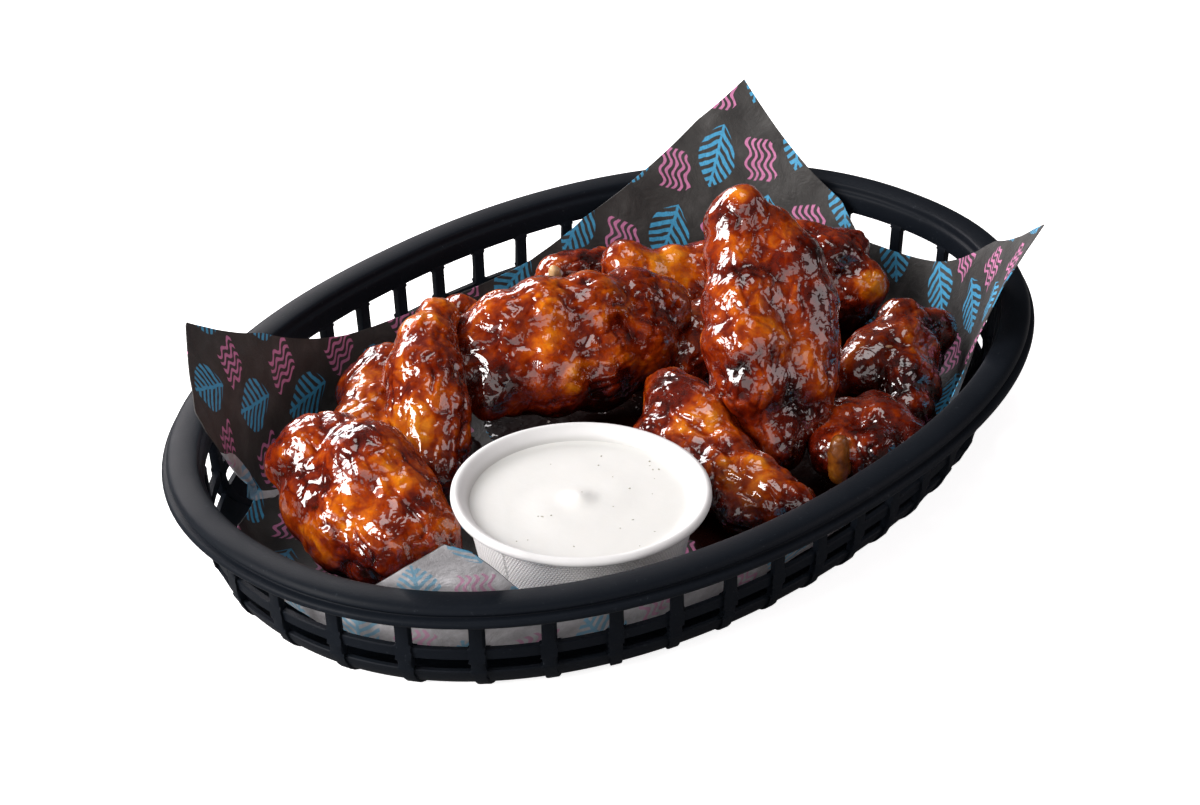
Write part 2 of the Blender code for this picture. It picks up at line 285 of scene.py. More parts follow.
def bumpNode(tree, height, strength, distance, normal=None):
    inputs = {"Height": height, "Strength": strength, "Distance": distance}
    if normal is not None:
        inputs["Normal"] = normal
    return addNode(tree, "ShaderNodeBump", inputs).outputs["Normal"]


def noiseBump(tree, vector, noise, strength, distance, normal=None):
    return bumpNode(tree, noiseNode(tree, vector, *noise), strength, distance, normal)


def flatCoordinates(tree):
    return addNode(tree, "ShaderNodeUVMap", uv_map="flat").outputs[0]


def splitVector(tree, vector):
    return addNode(tree, "ShaderNodeSeparateXYZ", {0: vector}).outputs


def attributeNode(tree, name):
    return addNode(tree, "ShaderNodeAttribute", attribute_name=name).outputs["Fac"]


def colourRamp(tree, factor, stops):
    node = addNode(tree, "ShaderNodeValToRGB", {"Fac": factor})
    elements = node.color_ramp.elements
    while len(elements) < len(stops):
        elements.new(0.5)
    for element, (position, colour) in zip(elements, stops):
        element.position = position
        element.color = (*colour, 1.0)
    return node.outputs["Color"]


def blackPlastic():
    material, tree, shader = newMaterial("blackPlastic")
    where = objectCoordinates(tree)
    cloud = noiseNode(tree, where, 38.0, 4.0, 0.6)
    dust = mapRange(tree, noiseNode(tree, where, 900.0, 2.0, 0.7), 0.66, 0.78)
    scuff = mapRange(tree, noiseNode(tree, where, 210.0, 6.0, 0.75, 1.5), 0.60, 0.72)
    base = mixColour(tree, cloud, (0.0036, 0.0050, 0.0076), (0.0068, 0.0092, 0.0134))
    worn = mixColour(tree, times(tree, scuff, 0.35), base, (0.022, 0.026, 0.032))
    grain = noiseBump(tree, where, (2600.0, 2.0, 0.5), 0.16, 0.0002)
    feed(tree, shader, {
        "Base Color": mixColour(tree, times(tree, dust, 0.30), worn, (0.06, 0.07, 0.08)),
        "Roughness": plus(tree, mapRange(tree, cloud, 0.3, 0.7, 0.44, 0.52), times(tree, scuff, 0.08)),
        "Specular IOR Level": 0.075,
        "Normal": noiseBump(tree, where, (60.0, 2.0, 0.4), 0.22, 0.0012, grain)})
    return material


# camera and light
view = {
    "place": (-0.49144, -0.44493, 0.41075),
    "aim": (-0.01184, -0.00523, 0.025),
    "roll": math.radians(-0.282),
    "lens": 90.12,
    "sensor": 36.0,
}


def makeCamera():
    data = bpy.data.cameras.new("camera")
    data.lens = view["lens"]
    data.sensor_width = view["sensor"]
    data.clip_start = 0.01
    camera = bpy.data.objects.new("camera", data)
    bpy.context.collection.objects.link(camera)
    back = (Vector(view["place"]) - Vector(view["aim"])).normalized()
    across = Vector((0.0, 0.0, 1.0)).cross(back).normalized()
    turned = Matrix.Rotation(view["roll"], 3, back) @ across
    rotation = Matrix((turned, back.cross(turned), back)).transposed()
    camera.matrix_world = Matrix.Translation(view["place"]) @ rotation.to_4x4()
    bpy.context.scene.camera = camera
    return across, back


across, back = makeCamera()
flatBack = Vector((back.x, back.y, 0.0)).normalized()

lights = {
    # right, towards the camera and up from the middle of the basket; size; watts; colour
    "keyLight": ((-0.84, 0.48, 0.50), (0.70, 0.74), 19.0, (1.0, 0.965, 0.955)),
    "edgeLight": ((-0.55, -0.80, 0.50), (0.90, 0.50), 12.5, (1.0, 0.96, 0.98)),
    "topLight": ((0.05, -0.05, 1.15), (0.55, 0.55), 2.3, (1.0, 0.98, 0.98)),
    "rightLight": ((0.95, 0.10, 0.45), (0.80, 0.75), 2.5, (1.0, 0.88, 0.90)),
    "frontFill": ((0.10, 1.10, 0.40), (1.50, 0.90), 4.0, (1.0, 0.98, 0.98)),
}


def makeLights():
    for name, (spot, size, power, colour) in lights.items():
        data = bpy.data.lights.new(name, "AREA")
        data.shape = "RECTANGLE"
        data.size, data.size_y = size
        data.energy = power
        data.color = colour
        lamp = bpy.data.objects.new(name, data)
        bpy.context.collection.objects.link(lamp)
        right, near, up = spot
        lamp.location = across * right + flatBack * near + Vector((0.0, 0.0, up))
        lamp.rotation_euler = lamp.location.to_track_quat("Z", "Y").to_euler()
    world = bpy.data.worlds.new("studio")
    bpy.context.scene.world = world
    world.use_nodes = True
    sky = world.node_tree.nodes["Background"]
    feed(world.node_tree, sky, {"Color": (0.96, 0.97, 1.0, 1.0), "Strength": 0.06})
    bpy.context.scene.view_settings.view_transform = "Standard"


def makeFloor():
    floor = newMesh("studioFloor", bpy.ops.mesh.primitive_plane_add, size=6.0, location=(0.0, 0.0, 0.0))
    material, tree, shader = newMaterial("floorPaper")
    feed(tree, shader, {"Base Color": (0.30, 0.30, 0.30, 1.0), "Roughness": 0.9})
    # the floor looks nearly white, yet throws little light back up at the basket
    pale = addNode(tree, "ShaderNodeBsdfPrincipled", {
        "Base Color": (0.90, 0.90, 0.90, 1.0), "Roughness": 0.9,
        "Emission Color": (1.0, 1.0, 1.0, 1.0), "Emission Strength": 0.80})
    seen = addNode(tree, "ShaderNodeLightPath").outputs["Is Camera Ray"]
    both = addNode(tree, "ShaderNodeMixShader", {0: seen, 1: shader.outputs[0], 2: pale.outputs[0]})
    tree.links.new(both.outputs[0], tree.nodes["Material Output"].inputs["Surface"])
    floor.data.materials.append(material)


makeLights()
makeFloor()
print("camera, lights and floor")


# basket: rim, two bands, ribs and the slotted base
oval = {
    "exponent": 2.18,
    "halfLength": basketHigh.x / mm,
    "halfWidth": basketHigh.y / mm,
    "ribs": 40,
    "crowding": 0.009,      # ribs stand closer along the sides
    "middleInset": 13.65,   # where the ribs' spacing is measured
    "spinRadius": 150.0,
    "steps": 320,
}


def ovalRadius(direction, inset):
    along = np.abs(np.cos(direction)) / (oval["halfLength"] - inset)
    wide = np.abs(np.sin(direction)) / (oval["halfWidth"] - inset)
    power = oval["exponent"]
    return (along ** power + wide ** power) ** (-1.0 / power)


samples = np.linspace(0.0, tau, 1441)
wallLine = ovalRadius(samples, oval["middleInset"])
wallPoints = np.stack([wallLine * np.cos(samples), wallLine * np.sin(samples)], axis=1)
walked = np.concatenate([[0.0], np.cumsum(np.linalg.norm(np.diff(wallPoints, axis=0), axis=1))])
wallLength = walked[-1]


def ovalPlace(share, inset, height):
    # share of the way round, inset from the rim and height in mm, to metres
    direction = np.interp(np.mod(share, 1.0) * wallLength, walked, samples)
    radius = ovalRadius(direction, inset)
    x, y = radius * np.cos(direction), radius * np.sin(direction)
    return np.stack([x, y, height + 0.0 * radius], axis=1) * mm


def ribShare(rib):
    share = rib / oval["ribs"]
    return share + oval["crowding"] * math.sin(2.0 * tau * share)


def outlineRing(name, outline):
    # a closed outline of (inset, height), spun and then laid on the oval
    ring = newMesh(name, bpy.ops.mesh.primitive_circle_add, vertices=len(outline), radius=1.0)
    setPoints(ring, np.array([(oval["spinRadius"] - inset, 0.0, height) for inset, height in outline]))
    spinRound(ring, oval["steps"], 0.01)
    points = pointsOf(ring)
    share = np.arctan2(points[:, 1], points[:, 0]) / tau
    inset = oval["spinRadius"] - np.hypot(points[:, 0], points[:, 1])
    setPoints(ring, ovalPlace(share, inset, points[:, 2]))
    return ring


# inset from the rim's outermost line, and height
rimOutline = [
    (10.2, 22.8), (10.05, 26.0), (9.95, 28.1), (9.7, 28.65), (9.2, 28.9), (8.95, 29.35),
    (8.9, 30.2), (8.8, 30.75), (8.5, 31.05), (7.9, 31.18), (7.0, 31.35), (5.4, 31.45),
    (3.9, 31.4), (2.8, 31.22), (2.1, 30.95), (1.6, 30.5), (1.25, 29.9), (1.15, 29.3),
    (1.85, 29.0), (1.9, 28.45), (0.95, 28.25), (0.35, 28.0), (0.05, 27.55), (0.0, 26.95),
    (0.2, 26.45), (0.65, 26.25), (1.15, 26.5), (1.55, 27.4), (2.4, 28.6), (4.0, 29.3),
    (6.0, 29.3), (7.2, 28.7), (7.6, 27.4), (7.8, 25.5), (8.05, 23.2), (8.3, 22.8),
]
middleBand = [(10.8, 14.3), (11.1, 11.2), (9.95, 11.2), (9.65, 11.45), (9.25, 14.05), (9.5, 14.3)]
footBand = [
    (11.9, 7.4), (12.7, 5.6), (13.6, 4.3), (14.9, 3.3), (17.0, 2.1), (20.6, 2.0), (20.6, 0.8),
    (17.4, 0.85), (15.0, 1.5), (13.2, 2.7), (12.1, 4.1), (11.3, 5.6), (10.65, 7.15), (10.85, 7.4),
]
ribShape = {
    "width": 3.2,
    "deep": 2.1,        # from its inner face to its outer one
    "corner": 0.5,      # how far a window's corners are rounded
    "round": 0.40,
    "heights": [
        22.8, 22.5, 21.9, 18.6, 15.2, 14.6, 14.3, 12.75, 11.2,
        10.9, 10.3, 9.3, 8.3, 7.7, 7.4, 5.6, 4.2, 3.3],
    "toe": [
        (19.0, 1.7), (25.5, 1.6), (25.5, 0.0), (17.6, 0.0),
        (15.9, 0.3), (14.4, 1.05), (12.9, 2.2), (11.6, 3.7)],
}
windowEdges = (22.8, 14.3, 11.2, 7.4)
# heights and insets of the wall's inner face
wallInner = ([0.8, 2.0, 3.3, 5.0, 7.4, 11.2, 14.3, 22.8, 29.0],
             [20.6, 17.4, 14.9, 13.2, 11.9, 11.1, 10.8, 10.2, 9.9])


def makeRib():
    corner = ribShape["corner"]
    wall = [(float(np.interp(height, *wallInner)), height) for height in ribShape["heights"]]
    outline = [(9.6, 25.0)] + [(inset + 0.06, height) for inset, height in wall] + ribShape["toe"]
    outline += [(inset - ribShape["deep"], height) for inset, height in reversed(wall) if height > 5.0]
    outline += [(8.6, 25.0)]
    rib = newMesh("rib", bpy.ops.mesh.primitive_circle_add, vertices=len(outline), radius=1.0)
    setPoints(rib, np.array([(-0.5 * ribShape["width"], inset, height) for inset, height in outline]))
    sideways = {"TRANSFORM_OT_translate": {"value": (ribShape["width"], 0.0, 0.0)}}
    editAll(rib, (bpy.ops.mesh.edge_face_add, {}), (bpy.ops.mesh.extrude_region_move, sideways))
    editAll(rib, (bpy.ops.mesh.normals_make_consistent, {"inside": False}))
    points = pointsOf(rib)
    # a rib widens in a quarter round where it meets a window's edge
    near = np.min([np.abs(points[:, 2] - edge) for edge in windowEdges], axis=0)
    gap = np.clip(near / corner, 0.0, 1.0)
    flare = corner * np.clip(1.0 - np.sqrt(gap * (2.0 - gap)), 0, 1)
    flare[(points[:, 2] > 22.81) | (points[:, 2] < 7.0)] = 0.0
    points[:, 0] += np.sign(points[:, 0]) * flare
    setPoints(rib, points)
    applyModifier(rib, "BEVEL", width=ribShape["round"], segments=2,
                  limit_method="ANGLE", angle_limit=math.radians(60.0))
    return rib


def placeRib(master, rib):
    copy = bpy.data.objects.new("ribCopy", master.data.copy())
    bpy.context.collection.objects.link(copy)
    points = pointsOf(copy)
    share = ribShare(rib) + points[:, 0] / wallLength  # a rib's width is measured on the wall
    setPoints(copy, ovalPlace(share, points[:, 1], points[:, 2]))
    return copy


baseShape = {
    "rings": (0.10, 0.30, 0.34, 0.60, 0.68, 0.90, 0.985),  # shares of the way out
    "open": (2, 4),         # rows of slots
    "columns": 6,           # cells from one rib to the next
    "inset": 17.4,
    "hole": 12.96,          # reach of the hole in the middle, which is filled
    "top": 2.0,
    "thick": 1.2,
}


def makeBase():
    # a flat lattice: a grid bent round the middle, slots taken out
    rings, perRib = baseShape["rings"], baseShape["columns"]
    columns = perRib * oval["ribs"]
    base = newMesh("baseLattice", bpy.ops.mesh.primitive_grid_add,
                   x_subdivisions=columns, y_subdivisions=len(rings) - 1, size=2.0)
    points = pointsOf(base)
    column = np.rint((points[:, 0] + 1.0) / 2.0 * columns)
    row = np.rint((points[:, 1] + 1.0) / 2.0 * (len(rings) - 1)).astype(int)

    def chooseSlots(mesh):
        for face in mesh.polygons:
            low = min(row[v] for v in face.vertices)
            first = int(min(column[v] for v in face.vertices))
            face.select = low in baseShape["open"] and first % perRib not in (0, perRib - 1)

    editChosen(base, "FACE", chooseSlots, bpy.ops.mesh.delete, type="FACE")
    points = pointsOf(base)
    column = (points[:, 0] + 1.0) / 2.0 * columns
    row = np.rint((points[:, 1] + 1.0) / 2.0 * (len(rings) - 1)).astype(int)
    within = column % perRib
    centre, ahead = (np.array([ribShare(c) for c in (column - within) / perRib + past]) for past in (0, 1))
    share = centre + (ahead - centre) * within / perRib
    flat = ovalPlace(share, baseShape["inset"], 0.0 * share + baseShape["top"])
    flat[:, :2] *= np.array(rings)[row][:, None]
    setPoints(base, flat)
    editAll(base, (bpy.ops.mesh.remove_doubles, {"threshold": 0.00002}))

    def chooseHole(mesh):
        faces = {}
        for face in mesh.polygons:
            for key in face.edge_keys:
                faces[key] = faces.get(key, 0) + 1
        points = pointsOf(base)
        for edge in mesh.edges:
            inner = all(np.hypot(*points[v][:2]) < baseShape["hole"] * mm for v in edge.vertices)
            edge.select = faces.get(tuple(sorted(edge.vertices)), 0) == 1 and inner

    editChosen(base, "EDGE", chooseHole, bpy.ops.mesh.edge_face_add)
    editAll(base, (bpy.ops.mesh.normals_make_consistent, {"inside": False}))
    applyModifier(base, "SOLIDIFY", thickness=baseShape["thick"] * mm, offset=-1.0)
    return base


def makeBasket():
    plastic = blackPlastic()
    rim = outlineRing("basketRim", rimOutline)
    applyModifier(rim, "SUBSURF", levels=1, render_levels=1)
    outlines = {"middleBand": middleBand, "footBand": footBand}
    bands = joinAll("basketBands", [outlineRing(name, outline) for name, outline in outlines.items()])
    master = makeRib()
    ribs = joinAll("basketRibs", [placeRib(master, rib) for rib in range(oval["ribs"])])
    bpy.data.objects.remove(master)
    base = makeBase()
    for piece in (rim, bands, ribs, base):
        smooth(piece, 35.0)
        place(piece, plastic, "black_plastic", "basket")


makeBasket()
print("basket")


# paper liner, folded out of a flat sheet
sheet = {
    "floor": paperLow.z / mm + 0.3,
    "footInset": 20.2,
    "topInset": 12.2,
    "rimHeight": 31.5,
    "flare": math.atan(1.0 / 0.5),
    "bend": 9.0,            # radius of the soft turn from floor to wall
    "thick": 0.22,
    "cells": (650, 70),     # round the edge, and from the middle out
    "floorShare": 0.3,      # share of the outward cells spent on the floor
    "ring": 0.84,           # where those cells end, as a share of the way to the wall's foot
    "fan": 38.0,            # how much the edge's cells also follow the ring's length
    # between two of the edge's places a lens of paper curls over and shows the reverse
    "curl": {
        "between": ((154.7, 28.6), (148.1, 8.4)), "bulge": 4.4, "radius": 0.6, "slack": 0.4,
        "root": 131.5},     # azimuth at which the strip to its lower end leaves the floor
    "sway": (46.0, 1.3),    # size and height of the corners' soft waves
    "creases": ((16.0, 0.45), (7.0, 0.22)),
    # azimuth and height of the sheet's edge, going round from the back corner
    "edge": (
        (24.3, 57.0), (30.0, 47.0), (38.0, 35.0), (48.0, 26.0), (59.5, 18.5), (71.0, 17.0),
        (83.0, 17.5), (98.0, 19.0), (110.0, 21.5), (117.0, 25.0), (130.0, 36.5), (143.0, 53.0),
        (155.3, 41.0), (156.2, 36.0), (154.7, 28.6), (148.1, 8.4), (148.6, 7.2), (151.8, 7.2),
        (155.3, 8.4), (161.0, 13.5), (168.3, 20.5), (192.0, 26.0), (197.0, 35.0), (202.5, 45.0),
        (205.0, 42.0), (211.0, 24.0), (250.0, 23.5), (289.4, 23.0), (311.0, 14.0), (315.0, 38.0),
        (319.5, 62.0), (336.0, 41.0), (349.0, 23.0), (360.6, 19.0), (364.0, 19.0), (368.0, 28.0),
        (377.0, 41.0)),
}
printing = {
    "pitch": (27.0, 23.0),
    "lean": 0.35,               # of the whole layout
    "wobble": 0.0012,
    # each motif's place and turn in its cell; its lines' pitch, and the part of it they fill
    "sprig": {"centre": (-4.6, 3.4), "turn": math.radians(38.0), "lines": (2.7, 0.20, 0.72)},
    "wave": {"centre": (7.4, -5.0), "turn": math.radians(38.0) + 0.25, "lines": (2.05, 0.22, 0.70)},
    "sides": {
        "printedPaper": {
            "inks": ((0.060, 0.350, 0.600), (0.600, 0.200, 0.390)), "worn": (0.72, 1.0),
            "mottle": (95.0, 5.0, 0.62), "roughness": 0.62,
            "ground": [
                (0.32, (0.021, 0.020, 0.019)), (0.55, (0.038, 0.037, 0.035)),
                (0.75, (0.066, 0.064, 0.062))]},
        "paperReverse": {
            "inks": ((0.16, 0.42, 0.60), (0.60, 0.28, 0.44)), "worn": (0.80, 0.80),
            "mottle": (120.0, 6.0, 0.68), "roughness": 0.55,
            "ground": [
                (0.30, (0.34, 0.33, 0.34)), (0.55, (0.56, 0.55, 0.57)), (0.75, (0.78, 0.77, 0.80))]},
    },
}


def paperPath():
    # how far out and how high the sheet is, for each length walked past the foot of the wall
    step = 0.25
    rise, lean = sheet["rimHeight"] - sheet["floor"], sheet["footInset"] - sheet["topInset"]
    slope, rimWalk = math.atan2(rise, lean), math.hypot(rise, lean)
    tangent = sheet["bend"] * math.tan(0.5 * slope)
    walk = np.arange(-tangent, 90.0, step)
    angle = np.minimum((walk + tangent) / sheet["bend"], slope)
    angle += (sheet["flare"] - slope) * ramp(walk, rimWalk - 2.0, rimWalk + 6.0)
    out = -tangent + np.concatenate([[0.0], np.cumsum(np.cos(angle[:-1]))]) * step
    high = sheet["floor"] + np.concatenate([[0.0], np.cumsum(np.sin(angle[:-1]))]) * step
    return walk, out, high


def foldSheet(flat):
    # flat points in mm from the middle, to points on the basket's inside in mm
    walk, out, high = paperPath()
    direction = np.arctan2(flat[:, 1], flat[:, 0])
    reach = np.hypot(flat[:, 0], flat[:, 1])
    foot = ovalRadius(direction, sheet["footInset"])
    past = reach - foot
    radius = np.where(past < walk[0], reach, foot + np.interp(past, walk, out))
    height = np.where(past < walk[0], sheet["floor"], np.interp(past, walk, high))
    return np.stack([radius * np.cos(direction), radius * np.sin(direction), height], axis=1)


def curlLine():
    start, end = (flatCorner(*place) for place in sheet["curl"]["between"])
    length = np.linalg.norm(end - start)
    along = (end - start) / length
    outward = np.array([along[1], -along[0]])
    outward *= np.sign(outward @ np.array([-start[1], start[0]]))
    return start, length, along, outward


def bulgeAt(share):
    return sheet["curl"]["bulge"] * np.sin(math.pi * np.clip(share, 0.0, 1.0)) ** 0.8


def sheetEdge():
    # the edge's flat places, how far along each is, and where its strip of paper leaves the floor
    places = list(sheet["edge"])
    corners = [flatCorner(*place) for place in places]
    start, length, along, outward = curlLine()
    lens = [start + share * length * along + bulgeAt(share) * outward
            for share in np.linspace(0.04, 0.96, 14)]
    after = places.index(sheet["curl"]["between"][0]) + 1
    edge = np.array(corners[:after] + lens + corners[after:] + corners[:1])
    walk = np.concatenate([[0.0], np.cumsum(np.linalg.norm(np.diff(edge, axis=0), axis=1))])
    direction = np.unwrap(np.arctan2(edge[:, 1], edge[:, 0]))
    farEnd = after + len(lens)
    direction[farEnd:farEnd + 2] = math.radians(sheet["curl"]["root"]) + np.array([0.0, 0.01])
    steady = direction <= np.minimum.accumulate(direction[::-1])[::-1] + 1e-9
    leaving = np.interp(walk, walk[steady], direction[steady])
    # more cells where the strips spread apart on the floor
    return edge, walk + sheet["fan"] * (leaving - leaving[0]), leaving


def rollEdge(flat):
    # flat points with the lens turned over, and how far each is lifted off the sheet
    radius = sheet["curl"]["radius"]
    start, length, along, outward = curlLine()
    share = (flat - start) @ along / length
    beyond = np.maximum((flat - start) @ outward, 0.0)
    beyond[(share < 0.0) | (share > 1.0) | (beyond > bulgeAt(share) + sheet["curl"]["slack"])] = 0.0
    turn = np.clip(beyond / radius, 0.0, math.pi)
    back = radius * np.sin(turn) - np.maximum(beyond - math.pi * radius, 0.0) - beyond
    return flat + np.outer(back, outward), radius * (1.0 - np.cos(turn))


def foldedNormals(flat):
    step = 0.2
    home = foldSheet(flat)
    ahead = foldSheet(flat + np.array([step, 0.0])) - home
    aside = foldSheet(flat + np.array([0.0, step])) - home
    normals = np.cross(ahead, aside)
    return normals / np.linalg.norm(normals, axis=1)[:, None]


def flatCorner(azimuth, height):
    # where a place on the folded sheet, given by azimuth and height, lies on the flat one
    walk, _, high = paperPath()
    direction = math.radians(azimuth)
    reach = ovalRadius(np.array([direction]), sheet["footInset"])[0] + np.interp(height, high, walk)
    return np.array([reach * math.cos(direction), reach * math.sin(direction)])


def printMask(tree, flat):
    # leaf sprigs in blue and small waves in pink, in a half-drop layout
    def vector(kind, settings, inputs):
        return addNode(tree, kind, inputs, **settings).outputs[0]

    pitchX, pitchY = printing["pitch"]
    wobble = addNode(tree, "ShaderNodeTexNoise", {"Vector": flat, "Scale": 260.0, "Detail": 1.0})
    shifted = vector("ShaderNodeVectorMath", {"operation": "SUBTRACT"},
                     {0: wobble.outputs["Color"], 1: (0.5, 0.5, 0.5)})
    eased = vector("ShaderNodeVectorMath", {"operation": "SCALE"},
                   {0: shifted, "Scale": printing["wobble"]})
    moved = vector("ShaderNodeVectorMath", {"operation": "ADD"}, {0: flat, 1: eased})
    turned = vector("ShaderNodeVectorRotate", {"rotation_type": "Z_AXIS"},
                    {"Vector": moved, "Angle": printing["lean"]})
    split = splitVector(tree, turned)
    x = times(tree, split[0], 1.0 / (pitchX * mm))
    y = times(tree, split[1], 1.0 / (pitchY * mm))
    column = math2(tree, "ABSOLUTE", math2(tree, "FLOOR", x))
    lowered = plus(tree, y, times(tree, math2(tree, "MODULO", column, 2.0), 0.5))
    a = times(tree, minus(tree, math2(tree, "FRACT", x), 0.5), pitchX)
    b = times(tree, minus(tree, math2(tree, "FRACT", lowered), 0.5), pitchY)

    def local(motif):
        # along and across a motif that is turned about its centre
        centreX, centreY = motif["centre"]
        dx, dy = minus(tree, a, centreX), minus(tree, b, centreY)
        cosine, sine = math.cos(motif["turn"]), math.sin(motif["turn"])
        p = plus(tree, times(tree, dx, cosine), times(tree, dy, sine))
        return p, minus(tree, times(tree, dy, cosine), times(tree, dx, sine))

    def stripes(value, width, low, high):
        share = math2(tree, "FRACT", math2(tree, "DIVIDE", plus(tree, value, 40.0), width))
        rise = mapRange(tree, share, low - 0.05, low + 0.05)
        return times(tree, rise, mapRange(tree, share, high + 0.05, high - 0.05))

    p, q = local(printing["sprig"])
    spread = math2(tree, "ABSOLUTE", q)
    widest = minus(tree, 6.2, times(tree, times(tree, p, p), 0.066))
    leaf = mapRange(tree, minus(tree, widest, spread), 0.0, 0.35)
    slant = plus(tree, p, times(tree, spread, 0.85))
    spine = mapRange(tree, spread, 0.55, 0.30)
    fronds = times(tree, leaf, math2(tree, "MAXIMUM", stripes(slant, *printing["sprig"]["lines"]), spine))
    p, q = local(printing["wave"])
    crest = plus(tree, q, times(tree, math2(tree, "SINE", times(tree, p, 1.15)), 0.75))
    inWave = times(tree, mapRange(tree, math2(tree, "ABSOLUTE", p), 6.0, 5.6),
                   mapRange(tree, math2(tree, "ABSOLUTE", crest), 5.0, 4.8))
    return fronds, times(tree, inWave, stripes(crest, *printing["wave"]["lines"]))


def paperSide(name, look):
    material, tree, shader = newMaterial(name)
    flat = flatCoordinates(tree)
    fibre = noiseNode(tree, flat, 1400.0, 3.0, 0.6)
    worn = mapRange(tree, fibre, 0.30, 0.55, *look["worn"])
    colour = colourRamp(tree, noiseNode(tree, flat, *look["mottle"]), look["ground"])
    for mask, ink in zip(printMask(tree, flat), look["inks"]):
        colour = mixColour(tree, times(tree, mask, worn), colour, ink)
    crinkle = noiseBump(tree, flat, (130.0, 6.0, 0.65, 0.6), 0.55, 0.0011)
    feed(tree, shader, {
        "Base Color": colour, "Roughness": look["roughness"],
        "Normal": bumpNode(tree, fibre, 0.25, 0.00012, crinkle)})
    return material


def makePaper():
    around, outward = sheet["cells"]
    paper = newMesh("paperLiner", bpy.ops.mesh.primitive_grid_add,
                    x_subdivisions=around, y_subdivisions=outward, size=2.0)
    unit = 0.5 * (pointsOf(paper) + 1.0)
    edge, walk, leaving = sheetEdge()
    walked = unit[:, 0] * walk[-1]
    border = np.stack([np.interp(walked, walk, edge[:, axis]) for axis in (0, 1)], axis=1)
    direction = np.interp(walked, walk, leaving)
    leave = np.stack([np.cos(direction), np.sin(direction)], axis=1)
    ring = sheet["ring"] * ovalRadius(direction, sheet["footInset"])[:, None] * leave
    inner = np.clip(unit[:, 1:2] / sheet["floorShare"], 0.0, 1.0)
    outer = np.clip((unit[:, 1:2] - sheet["floorShare"]) / (1.0 - sheet["floorShare"]), 0.0, 1.0)
    setPoints(paper, np.pad(ring * inner + (border - ring) * outer, ((0, 0), (0, 1))))
    editAll(paper, (bpy.ops.mesh.remove_doubles, {"threshold": 0.001}))
    if normalsOf(paper)[:, 2].mean() < 0.0:
        editAll(paper, (bpy.ops.mesh.flip_normals, {}))
    flat = pointsOf(paper)[:, :2]
    setUv(paper, flat * mm)
    flat, curled = rollEdge(flat)
    points = foldSheet(flat)
    normals = foldedNormals(flat)
    points = points + normals * curled[:, None]
    lift = ramp(points[:, 2], 6.0, 34.0)
    (swaySize, swayHigh), ((broad, broadHigh), (fine, fineHigh)) = sheet["sway"], sheet["creases"]
    sway = softNoise(points * mm, swaySize, 5) * swayHigh * ramp(points[:, 2], 26.0, 50.0)
    creases = softNoise(points * mm, broad, 6) * broadHigh * (0.4 + lift)
    creases += softNoise(points * mm, fine, 7) * fineHigh
    setPoints(paper, (points + normals * (sway + creases)[:, None]) * mm)
    for name, look in printing["sides"].items():
        paper.data.materials.append(paperSide(name, look))
    applyModifier(paper, "SOLIDIFY", thickness=sheet["thick"] * mm, offset=-1.0,
                  material_offset=1, material_offset_rim=0)
    smooth(paper, 50.0)
    place(paper, None, "printed_paper", "paper_liner")
    return paper


makePaper()
print("paper liner")


# pulp cup and the dip in it
cup = {
    "x": 0.5 * (cupLow.x + cupHigh.x) / mm,
    "y": 0.5 * (cupLow.y + cupHigh.y) / mm,
    "floor": cupLow.z / mm,
    "lip": cupHigh.z / mm,
    "lipRadius": 0.5 * (cupHigh.x - cupLow.x) / mm,
    "mouth": 28.2,
    "foot": 22.2,
    "wall": 1.1,
    "roll": 1.15,           # radius of the rolled lip
    "dots": (0.80, 0.62),   # pitch of the pulp's weave, round and up
    "wrapRadius": 26.0,
    "steps": 192,
}


def cupRadius(height):
    share = (height - cup["floor"]) / (cup["lip"] - cup["floor"])
    return cup["foot"] + share * (cup["mouth"] - cup["foot"])


def turnedPiece(name, outline, steps):
    # an open outline of (radius, height) from axis to axis, spun about the cup's middle
    piece = newMesh(name, bpy.ops.mesh.primitive_circle_add, vertices=len(outline) + 1, radius=1.0)
    editChosen(piece, "VERT", lambda mesh: setattr(mesh.vertices[len(outline)], "select", True),
               bpy.ops.mesh.delete, type="VERT")
    setPoints(piece, np.array([(radius, 0.0, height) for radius, height in outline]))
    spinRound(piece, steps, 0.001)
    return piece


def cupPulp():
    material, tree, shader = newMaterial("cupPulp")
    wrap = flatCoordinates(tree)
    split = splitVector(tree, wrap)
    row = times(tree, split[1], 1.0 / (cup["dots"][1] * mm))
    shift = times(tree, math2(tree, "MODULO", math2(tree, "FLOOR", row), 2.0), 0.5)
    along = plus(tree, times(tree, split[0], 1.0 / (cup["dots"][0] * mm)), shift)
    dotX, dotY = (math2(tree, "ABSOLUTE", minus(tree, math2(tree, "FRACT", value), 0.5))
                  for value in (along, row))
    dots = mapRange(tree, math2(tree, "MAXIMUM", dotX, dotY), 0.22, 0.42)
    cloud = noiseNode(tree, wrap, 240.0, 4.0, 0.6)
    base = mixColour(tree, cloud, (0.89, 0.88, 0.87), (0.96, 0.95, 0.94))
    weave = bumpNode(tree, minus(tree, 1.0, dots), 0.9, 0.00030)
    feed(tree, shader, {
        # the grooves between the dots sit lower in the bump and are also painted darker, as painted shade
        "Base Color": mixColour(tree, times(tree, dots, 0.50), base, (0.50, 0.49, 0.48)),
        "Roughness": 0.72, "Subsurface Weight": 0.08, "Subsurface Radius": (0.002, 0.002, 0.002),
        "Normal": noiseBump(tree, wrap, (1900.0, 3.0, 0.6), 0.3, 0.00012, weave)})
    return material


